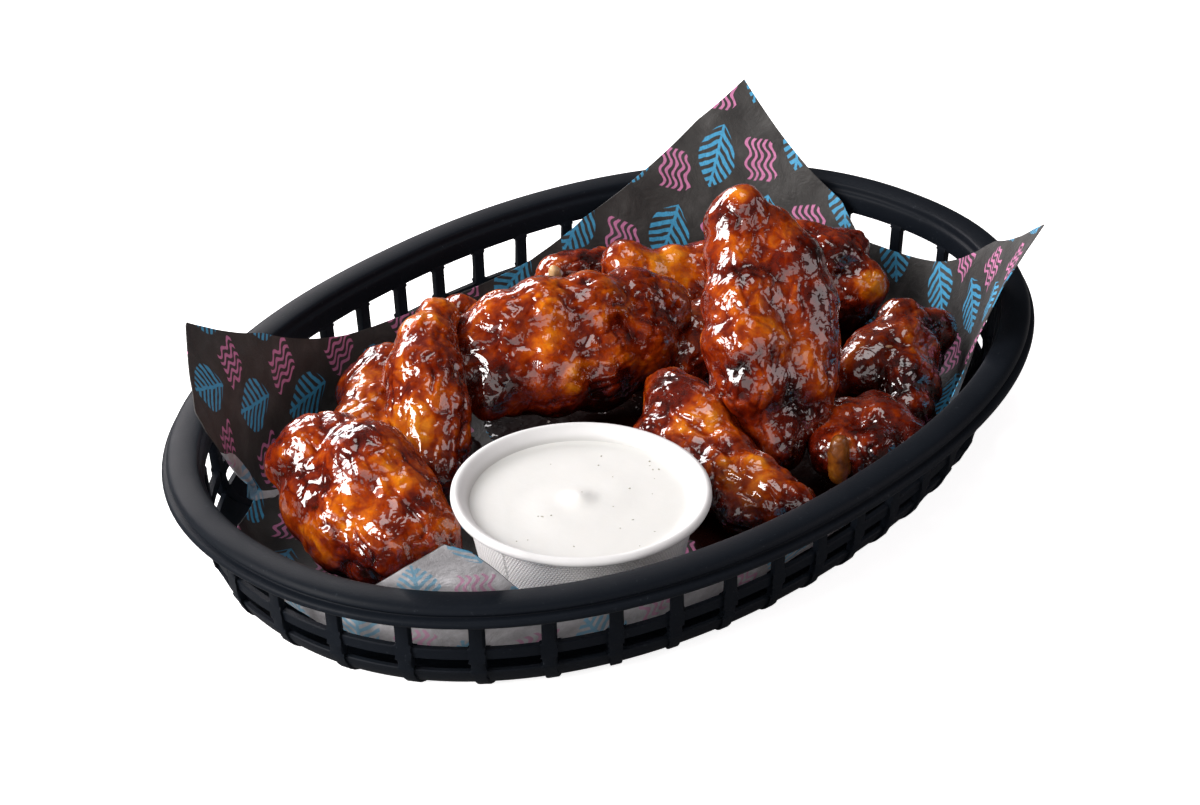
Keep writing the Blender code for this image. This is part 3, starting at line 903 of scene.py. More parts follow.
def lipPulp():
    material, tree, shader = newMaterial("lipPulp")
    where = objectCoordinates(tree)
    cloud = noiseNode(tree, where, 260.0, 4.0, 0.6)
    pale = mixColour(tree, cloud, (0.64, 0.64, 0.635), (0.71, 0.71, 0.705))
    # the wall inside is painted a little darker than the lip, as painted shade inside the cup
    height = splitVector(tree, where)[2]
    unshadedLip = mapRange(tree, height, (cup["lip"] - 3.0) * mm, (cup["lip"] - 1.2) * mm)
    feed(tree, shader, {
        "Base Color": mixColour(tree, unshadedLip, (0.50, 0.50, 0.485), pale), "Roughness": 0.55,
        "Normal": noiseBump(tree, where, (1800.0, 3.0, 0.6), 0.25, 0.00010)})
    return material


def makeCup():
    # radius and height, from the middle of the foot out, up, over the lip and down inside
    lip, floor, foot, roll, lipRadius = (cup[key] for key in ("lip", "floor", "foot", "roll", "lipRadius"))
    rolled = [(lipRadius - roll + roll * math.cos(a), lip - roll + roll * math.sin(a))
              for a in np.radians([-100.0, -70.0, -40.0, -10.0, 20.0, 50.0, 80.0, 105.0])]
    outline = [(0.0, floor + 0.9), (foot - 4.0, floor + 0.9), (foot - 2.6, floor), (foot - 0.9, floor)]
    outline += [(foot - 0.1, floor + 0.7), (cupRadius(floor + 2.0), floor + 2.0)]
    outline += [(cupRadius(h), h) for h in np.linspace(floor + 4.0, lip - 3.2, 9)]
    outline += [(cupRadius(lip - 2.6) + 0.3, lip - 2.5), (lipRadius - 1.9, lip - 2.35)] + rolled
    outline += [(lipRadius - 2.0, lip - 0.25), (cup["mouth"] + 0.2, lip - 0.75)]
    outline += [(cup["mouth"] - 0.9, lip - 1.8)]
    outline += [(cupRadius(h) - cup["wall"], h) for h in np.linspace(lip - 3.2, floor + 4.0, 6)]
    outline += [(foot - 3.0, floor + 2.0), (0.0, floor + 2.0)]
    piece = turnedPiece("dipCup", outline, cup["steps"])
    points = pointsOf(piece)
    angle = np.arctan2(points[:, 1], points[:, 0])
    setUv(piece, np.stack([angle * cup["wrapRadius"], points[:, 2]], axis=1) * mm)
    for face in piece.data.polygons:
        centre = face.center
        outside = math.hypot(centre.x, centre.y) > cupRadius(centre.z) - 0.3 and centre.z < lip - 2.6
        face.material_index = 0 if outside else 1  # woven outside, plain lip and inside
    wobble = 0.18 * softNoise(points * mm, 22.0, 41) + 0.05 * softNoise(points * mm, 6.0, 42)
    points[:, 0] += wobble * np.cos(angle) + cup["x"]
    points[:, 1] += wobble * np.sin(angle) + cup["y"]
    setPoints(piece, points * mm)
    for material in (cupPulp(), lipPulp()):
        piece.data.materials.append(material)
    smooth(piece, 50.0)
    place(piece, None, "cup_pulp", "dip_cup")


dip = {
    "level": dipHigh.z / mm - 1.6,
    "radius": cupRadius(dipHigh.z / mm - 1.6) - cup["wall"] + 0.05,
    "rings": 40,
    "steps": 160,
    "swirl": 0.06,
    "peak": (0.95, 3.2),        # height and width, with a broad low swell under it
    "swell": (0.12, 9.0),
    "ripple": (0.05, 13.0),
    "meniscus": (0.5, 0.9),
    "speckCount": 24,
    "speckReach": 24.0,
}


def dipHeight(x, y):
    # still surface with a spooned swirl, a soft peak and a meniscus at the wall
    radius = np.hypot(x, y)
    angle = np.arctan2(y, x)
    (peak, narrow), (swell, broad), (meniscus, thin) = dip["peak"], dip["swell"], dip["meniscus"]
    swirled = dip["swirl"] * np.sin(2.0 * angle - radius * 0.42) * np.exp(-((radius - 11.0) / 9.0) ** 2)
    raised = peak * np.exp(-(np.hypot(x - 0.3, y - 0.8) / narrow) ** 2)
    raised += swell * np.exp(-(radius / broad) ** 2)
    rippled = dip["ripple"][0] * softNoise(np.stack([x, y, 0.0 * x], axis=1) * mm, dip["ripple"][1], 51)
    edge = meniscus * np.exp((radius - dip["radius"]) / thin)
    return dip["level"] - 0.35 + swirled + raised + rippled + edge


def ranchDip():
    material, tree, shader = newMaterial("ranchDip")
    where = objectCoordinates(tree)
    cloud = noiseNode(tree, where, 120.0, 4.0, 0.55)
    feed(tree, shader, {
        "Base Color": mixColour(tree, cloud, (0.640, 0.642, 0.618), (0.685, 0.687, 0.662)),
        "Roughness": 0.45, "Subsurface Weight": 0.25, "Subsurface Radius": (0.004, 0.0035, 0.003),
        "Coat Weight": 0.12, "Coat Roughness": 0.15,
        "Normal": noiseBump(tree, where, (420.0, 3.0, 0.5), 0.12, 0.0004)})
    return material


def herbSpeck():
    material, tree, shader = newMaterial("herbSpeck")
    shade = noiseNode(tree, objectCoordinates(tree), 700.0, 2.0, 0.5)
    feed(tree, shader, {
        "Base Color": mixColour(tree, shade, (0.20, 0.20, 0.14), (0.42, 0.41, 0.34)), "Roughness": 0.5})
    return material


def makeDip():
    rings = [(dip["radius"] * ring / float(dip["rings"]), 0.0) for ring in range(dip["rings"] + 1)]
    bottom = cup["floor"] + 2.4 - dip["level"]
    below = [(cupRadius(cup["floor"] + 4.0) - 0.9, bottom), (0.0, bottom)]
    surface = turnedPiece("ranchFill", rings + below, dip["steps"])
    points = pointsOf(surface)
    top = points[:, 2] > -1.0
    points[top, 2] = dipHeight(points[top, 0], points[top, 1])
    points[~top, 2] += dip["level"]
    spread = points + np.array([cup["x"], cup["y"], 0.0])
    setPoints(surface, spread * mm)
    smooth(surface, 60.0)
    place(surface, ranchDip(), "ranch_dip", "dip")
    chance = np.random.default_rng(61)
    specks = []
    for count in range(dip["speckCount"]):
        speck = newMesh("speck", bpy.ops.mesh.primitive_ico_sphere_add, subdivisions=2, radius=1.0)
        reach, turn = dip["speckReach"] * math.sqrt(chance.random()), tau * chance.random()
        size = 0.13 + 0.15 * chance.random() ** 2
        shape = pointsOf(speck) * np.array([1.0 + chance.random(), 1.0, 0.35]) * size
        shape += 0.25 * size * softNoise(shape * mm + count, 0.3, count)[:, None]
        spin = tau * chance.random()
        x = shape[:, 0] * math.cos(spin) - shape[:, 1] * math.sin(spin) + reach * math.cos(turn)
        y = shape[:, 0] * math.sin(spin) + shape[:, 1] * math.cos(spin) + reach * math.sin(turn)
        z = shape[:, 2] + dipHeight(x, y) + 0.02
        setPoints(speck, np.stack([x + cup["x"], y + cup["y"], z], axis=1) * mm)
        specks.append(speck)
    herbs = joinAll("dipHerbs", specks)
    smooth(herbs, 80.0)
    place(herbs, herbSpeck(), "ranch_dip")


makeCup()
makeDip()
print("cup and dip")


# glazed wings
skin = {
    "blockVoxel": 0.9,
    "voxel": 0.5,
    "relax": 40,            # rounds that melt the lobes together
    "plump": 1.15,          # what the melting takes off, given back
    # height and size of each kind of relief
    "lump": (0.42, 11.0),
    "smallLump": (0.36, 5.5),
    "ripple": (0.24, 3.2),
    "fineRipple": (0.06, 1.7),
    "warp": (1.3, 6.0),
    "scale": (0.24, 3.9),
    "crease": (-0.55, 7.5),
    "string": 2.8,
    "fill": 0.35,           # how far sauce fills the hollows
    # how thin the glaze lies, and what changes it; the top, hollow and low terms also paint light on the
    # tops and shade in the hollows and near the paper
    "thin": {"plain": 0.41, "cloud": (0.24, 8.0), "top": 0.08, "hollow": 0.30,
             "scale": 0.12, "relief": 0.15, "low": 0.45},
    "char": ((1.0, 8.0), (0.5, 3.0)),
    "fleck": (0.7, 2.2),
}
# each wing is blocked out with round lobes, (x, y, z, radius) in mm, as in the model's own solids;
# a touch is (x, y, z, reach, paler, burnt)
wings = {
    "wing_front_left": {"seed": 11, "strings": 0.25, "lumpy": 0.7, "paler": 0.05, "lobes": [
        (-83.4, 31.3, 25, 6.2), (-80, 27, 27.5, 9), (-75, 24, 27.5, 9), (-83, 19, 19, 11.2),
        (-76, 12, 27, 12), (-84, 9, 17, 12.2), (-76, 2, 22.5, 10.4), (-84, -2, 16, 11),
        (-77, -7, 18.5, 8.4), (-75.3, -10.5, 15, 5.4)],
     "touches": [
        (-90, 29, 31, 10, -0.08, 0.45), (-81, 12, 39, 10, -0.16, 0), (-81, -3, 34, 7, 0.3, 0),
        (-90, 2, 27, 9, 0.3, 0), (-97, 11, 16, 9, 0.3, 0), (-81, -8, 30, 5, -0.25, 0),
        (-94, -10, 17, 9, -0.2, 0), (-81, -16, 23, 9, 0.1, 0.15), (-90, 16, 29, 8, -0.12, 0)]},
    "wing_left": {"seed": 12, "strings": 0.25, "lumpy": 0.5, "paler": 0.09, "lobes": [
        (-19, 45, 33, 5.5), (-8, 48, 29, 5), (-27, 41, 31, 7.5), (-33, 36, 26, 10),
        (-38, 30, 20, 10.5), (-42, 25, 15, 9.5), (-48, 18, 12, 6.5), (-28, 39, 19, 9.5),
        (-34, 33, 14, 9.5)],
     "touches": [
        (-50, 26, 22, 10, 0.32, 0), (-48, 14, 13, 8, -0.1, 0.3), (-21, 42, 38, 8, 0.15, 0.1),
        (-33, 35, 37, 8, -0.15, 0.1), (-30, 27, 31, 8, -0.15, 0.2)]},
    "wing_left_back": {"seed": 13, "lobes": [
        (-30, 53, 18, 8), (-36, 52, 15, 9.5), (-42, 45, 14, 9.5), (-46, 36, 13, 8), (-50, 42, 13, 9),
        (-57, 33, 13, 8.5), (-24, 54, 14, 8)],
     "touches": [
        (-41, 50, 24, 7, 0.2, 0), (-50, 39, 22, 8, 0.25, 0)]},
    "wing_centre": {"seed": 14, "paler": 0.06, "lobes": [
        (-12, 36, 26, 8.5), (-21, 34, 22, 5), (-6, 33, 29, 10), (-11, 28, 20, 10.5), (3, 28, 31, 10.5),
        (-1, 22, 20, 12.5), (14, 22, 30, 10.5), (10, 17, 19, 12.5), (27, 20, 28, 9.5),
        (22, 14, 20, 11.5), (34, 16, 25, 8.5), (-20, 26, 17, 5)],
     "touches": [
        (-22, 23, 22, 9, -0.25, 0.5), (-24, 31, 27, 8, -0.2, 0.4), (-18, 40, 32, 7, -0.1, 0.2),
        (-27, 21, 17, 4, 0.5, -1), (-7, 19, 32, 7, 0.18, 0), (3, 22, 39, 8, 0.16, 0),
        (18, 15, 38, 7, 0.14, 0), (-4, 10, 23, 6, 0.2, 0), (-17, 20, 26, 6, -0.15, 0),
        (3, 6, 15, 11, -0.25, 0), (26, 8, 31, 12, -0.10, 0)]},
    "wing_back_bone": {"seed": 15, "lobes": [
        (34, 53, 22, 5), (39, 51, 20, 7), (46, 48, 17, 9), (51, 44, 14, 9), (39, 50, 13, 8.5),
        (47, 46, 13, 10), (30, 52, 15, 7), (58, 41, 13, 8)],
     "touches": [
        (42, 44, 26, 8, -0.3, 0.35), (33, 46, 26, 6, -0.1, 0.2)]},
    "wing_back": {"seed": 16, "lobes": [
        (46, 38, 26, 6.5), (49, 34, 24, 6), (57, 30, 22, 7), (64, 25, 20, 9), (68, 17, 17, 11),
        (66, 8, 15, 10), (50, 32, 16, 8), (58, 26, 14, 9.5)],
     "touches": [
        (45, 31, 30, 9, 0.25, 0), (53, 26, 27, 9, 0.38, 0), (60, 16, 24, 8, 0.25, 0),
        (66, 6, 22, 8, -0.2, 0.4)]},
    "wing_upright": {"seed": 17, "lobes": [
        (37, -10, 63.5, 5.4), (36, -9, 58, 8), (41, -15, 54, 8.5), (32, -13, 51, 8.5), (41, -21, 48, 10),
        (26, -20, 43, 10), (39, -26, 40, 11), (20, -26, 36, 10.5), (34, -31, 32, 11),
        (18, -30, 28, 10), (30, -35, 25, 9.5), (19, -34, 19, 8), (28, -38, 17, 8), (17, -39, 13, 7)],
     "touches": [
        (33, -11, 71, 7, 0.3, 0), (29, -12, 65, 6, -0.25, 0.2), (26, -16, 58, 6, 0.1, 0),
        (32, -20, 56, 6, 0.14, 0), (24, -22, 53, 5, -0.22, 0), (19, -28, 47, 9, 0.14, 0),
        (15, -32, 43, 7, 0.1, 0), (15, -37, 37, 6, -0.15, 0), (25, -37, 37, 8, 0.15, 0),
        (19, -43, 21, 12, -0.25, 0.1), (43, -29, 54, 9, -0.25, 0.35), (39, -38, 42, 9, -0.2, 0.1),
        (9, -33, 33, 7, -0.2, 0)]},
    "wing_middle_low": {"seed": 18, "lobes": [
        (34, 5, 12, 8.5), (42, 10, 14, 9), (49, 9, 14, 10), (54, 1, 13, 10), (46, 2, 11, 9)]},
    "wing_back_right": {"seed": 19, "strings": 0.35, "paler": -0.05, "lobes": [
        (80, 17, 22, 8), (84, 15, 24, 8), (87, 9, 23, 9), (90, 2, 22, 9), (92, -8, 18, 6.5),
        (97, 1, 24, 5.5), (89, -1, 15, 9), (81, 18, 14, 9.5), (85, 9, 13, 10), (90, -3, 13, 9)],
     "touches": [
        (89, -14, 21, 7, 0.35, 0), (86, -8, 24, 8, -0.05, 0.5), (83, -3, 28, 8, -0.25, 0.2)]},
    "wing_right": {"seed": 20, "paler": -0.02, "lobes": [
        (85, -38, 18, 5.5), (78, -32, 20, 6.5), (71, -38, 17, 9), (64, -36, 15, 9.5), (57, -35, 16, 7),
        (63, -45, 13, 9), (56, -52, 10, 6.5), (78, -35, 13, 9), (70, -32, 12, 10), (61, -33, 12, 8)],
     "touches": [
        (80, -42, 19, 9, -0.3, 0.2), (57, -41, 22, 8, -0.1, 0.4), (56, -48, 19, 8, -0.35, 0.1),
        (66, -44, 20, 7, 0.1, 0.2)]},
    "wing_front_right": {"seed": 21, "strings": 0.45, "lobes": [
        (10, -9, 20, 6), (7, -16, 18, 9), (6, -23, 16, 10.5), (11, -26, 14, 6), (2, -35, 14, 8),
        (-1, -46, 13, 7.4), (-2, -54, 12, 7.2), (-1, -60, 12, 5.5), (-8, -49, 10, 6), (-1, -18, 13, 9),
        (-4, -28, 12, 9.5), (-5, -38, 12, 8.5)],
     "touches": [
        (3, -15, 28, 9, -0.30, 0.1), (-1, -27, 24, 8, 0.24, 0), (4, -34, 24, 7, 0.24, 0),
        (-6, -48, 20, 9, 0.34, 0), (-6, -36, 21, 6, -0.15, 0), (-5, -64, 16, 8, -0.10, 0),
        (-9, -56, 13, 7, 0.34, -1)]},
    "wing_right_low": {"seed": 22, "paler": -0.08, "lobes": [
        (27, -51, 12, 7), (36, -47, 12, 8), (42, -53, 12, 8.5), (42, -59, 11, 7), (32, -58, 11, 7.5),
        (47, -48, 11, 7)],
     "touches": [
        (22, -56, 16, 7, 0.34, -1), (34, -61, 19, 8, -0.15, 0.15)]},
}


def blockOut(name, lobes):
    balls = []
    for x, y, z, radius in lobes:
        balls.append(newMesh("lobe", bpy.ops.mesh.primitive_ico_sphere_add,
                             subdivisions=3, radius=radius * mm, location=(x * mm, y * mm, z * mm)))
        bpy.ops.object.transform_apply(location=True, rotation=False, scale=False)
    body = joinAll(name, balls)
    applyModifier(body, "REMESH", mode="VOXEL", voxel_size=skin["blockVoxel"] * mm)
    applyModifier(body, "SMOOTH", factor=0.5, iterations=skin["relax"])
    setPoints(body, pointsOf(body) + normalsOf(body) * skin["plump"] * mm)
    applyModifier(body, "REMESH", mode="VOXEL", voxel_size=skin["voxel"] * mm)
    applyModifier(body, "SMOOTH", factor=0.5, iterations=5)
    return body


def longAxes(points):
    centred = points - points.mean(axis=0)
    turn = np.linalg.eigh(centred.T @ centred)[1][:, ::-1]
    return centred @ turn


def smoothedPoints(obj, rounds):
    helper = bpy.data.objects.new("helper", obj.data.copy())
    bpy.context.collection.objects.link(helper)
    applyModifier(helper, "SMOOTH", factor=0.5, iterations=rounds)
    points = pointsOf(helper)
    bpy.data.objects.remove(helper)
    return points


def glazedWing():
    material, tree, shader = newMaterial("glazedWing")
    where = objectCoordinates(tree)
    char = attributeNode(tree, "char")
    patch = noiseNode(tree, where, 170.0, 3.0, 0.5, 0.4)
    grain = noiseNode(tree, where, 900.0, 4.0, 0.6)
    pools = noiseNode(tree, where, 420.0, 2.0, 0.5, 0.9)
    # the thin attribute holds the glaze's thickness together with painted light on the tops and painted
    # shade in the hollows and near the paper
    tone = attributeNode(tree, "thin")
    for cloud, amount in ((patch, 0.50), (pools, 0.46), (grain, 0.08)):
        tone = plus(tree, tone, times(tree, minus(tree, cloud, 0.5), amount))
    glaze = colourRamp(tree, tone, [
        (0.02, (0.0110, 0.0011, 0.0005)), (0.20, (0.0440, 0.0026, 0.0007)),
        (0.40, (0.1200, 0.0075, 0.0009)), (0.60, (0.2700, 0.0300, 0.0012)),
        (0.80, (0.4800, 0.0950, 0.0024)), (1.0, (0.6800, 0.2100, 0.0080))])
    burnt = times(tree, char, mapRange(tree, grain, 0.30, 0.60, 0.55, 1.0))
    swirls = noiseBump(tree, where, (260.0, 2.0, 0.5, 0.8), 0.38, 0.0010)
    ripple = noiseBump(tree, where, (820.0, 2.0, 0.5, 0.3), 0.10, 0.00035, swirls)
    # the wet coat lies in islands and thins out on the undersides
    islands = mapRange(tree, noiseNode(tree, where, 400.0, 2.5, 0.5, 1.2), 0.44, 0.475, 0.06, 1.0)
    feed(tree, shader, {
        "Base Color": mixColour(tree, burnt, glaze, (0.0140, 0.0036, 0.0013)),
        "Roughness": mapRange(tree, char, 0.0, 1.0, 0.42, 0.55),
        "Specular IOR Level": 0.03, "Subsurface Weight": 0.10,
        "Subsurface Radius": (0.0020, 0.0007, 0.0002),
        "Coat Roughness": 0.04, "Coat IOR": 2.0,
        "Coat Weight": times(tree, islands, attributeNode(tree, "wet")),
        "Coat Normal": ripple, "Normal": bumpNode(tree, grain, 0.3, 0.0002, ripple)})
    return material


def keepClear(points):
    # metres in and out: off the floor and the wall's paper, and outside the cup
    moved = points / mm
    low = sheet["floor"] + 0.45
    moved[:, 2] = np.maximum(moved[:, 2], low)
    direction = np.arctan2(moved[:, 1], moved[:, 0])
    reach = np.hypot(moved[:, 0], moved[:, 1])
    rise = np.clip((moved[:, 2] - sheet["floor"]) / (sheet["rimHeight"] - sheet["floor"]), 0.0, 1.0)
    inset = sheet["footInset"] + rise * (sheet["topInset"] - sheet["footInset"]) + 1.0
    inset += 4.0 * (1.0 - ramp(moved[:, 2], 2.0, 9.0))
    wall = ovalRadius(direction, inset)
    moved[:, :2] *= np.minimum(1.0, wall / np.maximum(reach, 1.0))[:, None]
    away = moved[:, :2] - np.array([cup["x"], cup["y"]])
    gap = np.hypot(away[:, 0], away[:, 1])
    height = moved[:, 2]
    body = np.where(height > cup["lip"] - 3.5, cup["lipRadius"], cupRadius(height)) + 0.35
    inside = (gap < body) & (height < cup["lip"] + 0.3)
    away[inside] *= (body / np.maximum(gap, 1.0))[inside][:, None]
    moved[:, :2] = away + np.array([cup["x"], cup["y"]])
    return moved * mm


def makeWing(nodeName, look, glaze):
    seed = look["seed"] * 10
    wing = blockOut(nodeName.replace("wing_", "glazedWing_"), look["lobes"])
    points, normals = pointsOf(wing), normalsOf(wing)
    stretched = longAxes(points) * np.array([0.6, 1.0, 1.0])
    warpHigh, warpSize = skin["warp"]
    warp = np.stack([softNoise(points, warpSize, seed + k) for k in (7, 8, 9)], axis=1) * warpHigh * mm
    lumps = relief(points, skin["lump"], seed) + relief(points, skin["smallLump"], seed + 1)
    lumps *= look.get("lumpy", 1.0)
    busy = 0.55 + 0.75 * ramp(softNoise(points, 12.0, seed + 3), -0.3, 0.5)
    ripples = relief(stretched + warp, skin["ripple"], seed + 4)
    ripples += relief(points + warp, skin["fineRipple"], seed + 6)
    scaleHigh, scaleSize = skin["scale"]
    nearest, second = cellNoise(stretched + 1.4 * warp, scaleSize, seed + 10)
    scales = ramp(second - nearest, 0.0, 0.35) - 0.6
    scales *= ramp(softNoise(points, 14.0, seed + 11), -0.35, 0.25)
    creaseHigh, creaseSize = skin["crease"]
    creases = creaseHigh * np.exp(-(softNoise(stretched + warp, creaseSize, seed + 2) / 0.12) ** 2)
    creases *= ramp(softNoise(points, 11.0, seed + 5), 0.0, 0.4)
    drawn = longAxes(points) * np.array([0.22, 1.0, 1.0])
    strings = look.get("strings", 0.0) * softNoise(drawn + 0.5 * warp, skin["string"], seed + 12)
    total = lumps + busy * ripples + creases + scaleHigh * scales + strings
    setPoints(wing, points + normals * (total * mm)[:, None])
    # sauce lies in the hollows: they are filled a little, and below they are painted darker, partly for the
    # sauce and partly as painted shade
    level = smoothedPoints(wing, 8)
    points, normals = pointsOf(wing), normalsOf(wing)
    hollow = np.einsum("ij,ij->i", level - points, normals) / mm
    points = points + normals * (skin["fill"] * np.clip(hollow, 0.0, 0.6) * mm)[:, None]
    setPoints(wing, keepClear(points))
    broad = smoothedPoints(wing, 60)
    swell = np.einsum("ij,ij->i", broad - points, normals) / mm
    raised = (0.6 * lumps + 1.2 * busy * ripples + creases) / 0.6
    # paler on top and on crests, darker in hollows and near the paper: partly how thin the glaze lies,
    # partly painted light on the tops and painted shade in the hollows and near the paper
    tone = skin["thin"]
    thin = tone["plain"] + look.get("paler", 0.0) + relief(points, tone["cloud"], seed + 20)
    thin = thin + tone["top"] * normals[:, 2] - tone["hollow"] * np.clip(swell, -0.6, 0.6)
    low = 1.0 - ramp(points[:, 2] / mm, 5.0, 20.0)
    thin += tone["scale"] * scales + tone["relief"] * np.clip(raised, -1.2, 1.0) - tone["low"] * low
    charred, speckled = skin["char"]
    char = relief(points, charred, seed + 21) + relief(points, speckled, seed + 22)
    char = ramp(char, 0.95, 1.20)
    flecks = 0.5 + relief(points, skin["fleck"], seed + 23)
    for x, y, z, reach, paler, burnt in look.get("touches", ()):
        near = 1.0 - ramp(np.linalg.norm(points / mm - np.array([x, y, z]), axis=1), 0.45 * reach, reach)
        thin += paler * near
        if burnt < 0:  # kept free of char
            char = char * (1.0 - near)
        else:
            char = np.maximum(char, burnt * near * np.clip(0.6 * flecks + 0.35 * burnt, 0.0, 1.0))
    setAttribute(wing, "thin", np.clip(thin, 0.0, 1.0))
    setAttribute(wing, "char", np.clip(char, 0.0, 1.0))
    setAttribute(wing, "wet", 0.12 + 0.88 * ramp(normals[:, 2], -0.40, 0.10))  # undersides are matt
    smooth(wing, 80.0)
    return place(wing, glaze, "glazed_wing", nodeName)


glaze = glazedWing()
for nodeName, look in wings.items():
    makeWing(nodeName, look, glaze)
print("wings")

# bare bone, torn meat and pooled sauce; places in mm
scraps = {
    "boneTip": {
        "from": (30.6, 49.8, 24.2), "to": (28.4, 48.4, 27.6),
        "radius": 1.8, "knob": 1.1, "bare": 1.0, "seed": 71},
    "boneEnd": {
        "from": (22.4, -55.4, 8.5), "to": (23.0, -54.8, 17.0),
        "radius": 3.2, "knob": 1.0, "bare": 0.18, "seed": 72},
    "tornMeat": {"middle": (60, -40, 21.5), "strands": 16, "long": 9.0, "radius": 0.65, "seed": 73},
    "sauce": {"from": (-36, -62), "to": (98, 58), "step": 0.8, "reach": 8.0, "deep": 0.55, "seed": 74},
}


def cookedBone():
    material, tree, shader = newMaterial("cookedBone")
    where = objectCoordinates(tree)
    stain = noiseNode(tree, where, 330.0, 4.0, 0.6, 0.5)
    bare = times(tree, attributeNode(tree, "bare"), 0.55)
    colour = colourRamp(tree, plus(tree, times(tree, stain, 0.7), bare), [
        (0.28, (0.060, 0.009, 0.001)), (0.50, (0.27, 0.075, 0.005)),
        (0.70, (0.50, 0.22, 0.035)), (0.90, (0.72, 0.46, 0.22))])
    feed(tree, shader, {
        "Base Color": colour, "Roughness": 0.35,
        "Subsurface Weight": 0.15, "Subsurface Radius": (0.002, 0.001, 0.0005),
        "Coat Weight": 0.4, "Coat Roughness": 0.06,
        "Normal": noiseBump(tree, where, (900.0, 3.0, 0.6), 0.35, 0.0003)})
    return material


def tornFibre():
    material, tree, shader = newMaterial("tornFibre")
    where = objectCoordinates(tree)
    colour = colourRamp(tree, noiseNode(tree, where, 420.0, 3.0, 0.6), [
        (0.35, (0.16, 0.045, 0.012)), (0.55, (0.42, 0.20, 0.085)), (0.75, (0.62, 0.40, 0.24))])
    feed(tree, shader, {
        "Base Color": colour, "Roughness": 0.42, "Coat Weight": 0.5, "Coat Roughness": 0.08,
        "Normal": noiseBump(tree, where, (1200.0, 2.0, 0.5), 0.4, 0.0002)})
    return material


def pooledSauce():
    material, tree, shader = newMaterial("pooledSauce")
    where = objectCoordinates(tree)
    depth = noiseNode(tree, where, 140.0, 3.0, 0.5)
    glints = noiseNode(tree, where, 480.0, 2.0, 0.5, 1.0)
    feed(tree, shader, {
        "Base Color": mixColour(tree, depth, (0.0035, 0.0008, 0.0005), (0.0160, 0.0018, 0.0008)),
        "Roughness": 0.45, "Specular IOR Level": 0.03,
        "Coat Weight": mapRange(tree, glints, 0.60, 0.63, 0.0, 0.8), "Coat Roughness": 0.03,
        "Normal": noiseBump(tree, where, (260.0, 2.0, 0.5), 0.5, 0.0009)})
    return material


def makeBone(name, look, material):
    start, end = np.array(look["from"], float), np.array(look["to"], float)
    bone = newMesh(name, bpy.ops.mesh.primitive_uv_sphere_add, segments=48, ring_count=32, radius=1.0)
    points = pointsOf(bone)
    along = 0.5 * (points[:, 2] + 1.0)
    swell = 1.0 + (look["knob"] - 1.0) * np.cos(tau * along)
    axis = (end - start) / np.linalg.norm(end - start)
    side = np.cross(axis, (0.0, 0.0, 1.0))
    side /= np.linalg.norm(side)
    other = np.cross(axis, side)
    reach = look["radius"] * swell * np.maximum(np.hypot(points[:, 0], points[:, 1]), 0.02) ** -0.4
    moved = start + np.outer(along * np.linalg.norm(end - start), axis)
    moved += np.outer(points[:, 0] * reach, side) + np.outer(points[:, 1] * reach, other)
    moved += np.outer(np.sign(points[:, 2]) * np.abs(points[:, 2]) ** 3 * look["radius"] * 0.7, axis)
    setPoints(bone, moved * mm)
    middle = Vector(0.5 * mm * (start + end))
    if sum(face.normal.dot(face.center - middle) for face in bone.data.polygons) < 0.0:
        editAll(bone, (bpy.ops.mesh.flip_normals, {}))
    points, normals = pointsOf(bone), normalsOf(bone)
    rough = 0.35 * softNoise(points, 3.5, look["seed"]) + 0.14 * softNoise(points, 1.5, look["seed"] + 1)
    setPoints(bone, points + normals * (rough * mm)[:, None])
    setAttribute(bone, "bare", np.full(len(points), look["bare"]))
    smooth(bone, 80.0)
    return place(bone, material, "glazed_wing")


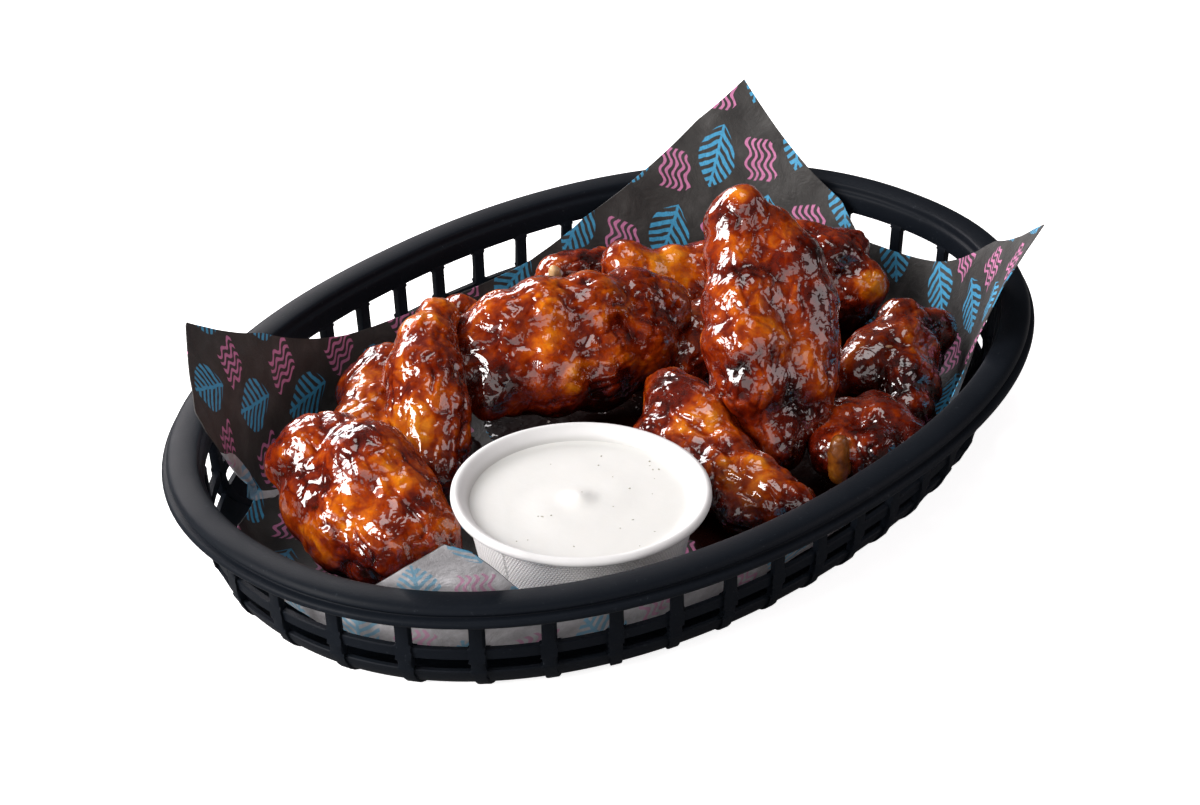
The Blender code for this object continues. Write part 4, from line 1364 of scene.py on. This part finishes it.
def makeTornMeat(look, material):
    chance = np.random.default_rng(look["seed"])
    strands = []
    for strand in range(look["strands"]):
        piece = newMesh("strand", bpy.ops.mesh.primitive_uv_sphere_add,
                        segments=12, ring_count=14, radius=1.0)
        points = pointsOf(piece)
        length = look["long"] * (0.6 + 0.6 * chance.random())
        radius = look["radius"] * (0.6 + 0.8 * chance.random())
        lean, rise = 0.5 * chance.normal(), 0.25 * chance.normal()
        along = 0.5 * length * points[:, 2]
        bend = 0.05 * along ** 2 * chance.normal()
        drift = chance.normal(size=3) * np.array([1.6, 1.6, 0.8])
        axis = np.array([across.x, across.y, 0.0]) + np.array([0.3 * lean, -0.3 * lean, rise])
        axis /= np.linalg.norm(axis)
        other = np.array([-axis[1], axis[0], 0.0])
        moved = np.array(look["middle"]) + drift + np.outer(along, axis)
        moved = moved + np.outer(radius * points[:, 0] + bend, other)
        moved[:, 2] += radius * points[:, 1] + 0.4 * softNoise(moved * mm, 3.0, strand)
        setPoints(piece, moved * mm)
        strands.append(piece)
    meat = joinAll("tornMeat", strands)
    editAll(meat, (bpy.ops.mesh.normals_make_consistent, {"inside": False}))
    smooth(meat, 80.0)
    return place(meat, material, "glazed_wing")


def makeSauce(look, material):
    # thin dark sauce run together on the paper round the feet of the wings
    (x0, y0), (x1, y1) = look["from"], look["to"]
    cells = (int((x1 - x0) / look["step"]), int((y1 - y0) / look["step"]))
    pool = newMesh("pooledSauce", bpy.ops.mesh.primitive_grid_add,
                   x_subdivisions=cells[0], y_subdivisions=cells[1], size=2.0)
    unit = 0.5 * (pointsOf(pool) + 1.0)
    x, y = x0 + (x1 - x0) * unit[:, 0], y0 + (y1 - y0) * unit[:, 1]
    gap = np.full(len(x), 99.0)
    for wing in wings.values():
        for lobeX, lobeY, lobeZ, radius in wing["lobes"]:
            if lobeZ - radius < 9.0:
                gap = np.minimum(gap, np.hypot(x - lobeX, y - lobeY) - 0.8 * radius)
    spots = np.stack([x, y, 0.0 * x], axis=1) * mm
    edge = look["reach"] + 2.6 * softNoise(spots, 14.0, look["seed"]) - gap
    edge = np.minimum(edge, np.hypot(x - cup["x"], y - cup["y"]) - cup["foot"] - 1.5)
    edge = np.minimum(edge, 1.4 * (ovalRadius(np.arctan2(y, x), sheet["footInset"] + 9.0) - np.hypot(x, y)))
    ripple = 0.10 * softNoise(spots, 5.0, look["seed"] + 1)
    height = sheet["floor"] - 0.12 + (look["deep"] + ripple) * ramp(edge, 0.0, 2.2)
    setPoints(pool, np.stack([x, y, height], axis=1) * mm)
    editChosen(pool, "VERT", lambda mesh: mesh.vertices.foreach_set("select", edge < 0.0),
               bpy.ops.mesh.delete, type="VERT")
    applyModifier(pool, "SOLIDIFY", thickness=0.1 * mm, offset=-1.0)
    smooth(pool, 80.0)
    return place(pool, material, "glazed_wing")


bone = cookedBone()
makeBone("boneTip", scraps["boneTip"], bone)
makeBone("boneEnd", scraps["boneEnd"], bone)
makeTornMeat(scraps["tornMeat"], tornFibre())
makeSauce(scraps["sauce"], pooledSauce())
print("bones, torn meat and sauce")

# bring the scene up to date
bpy.context.view_layer.update()
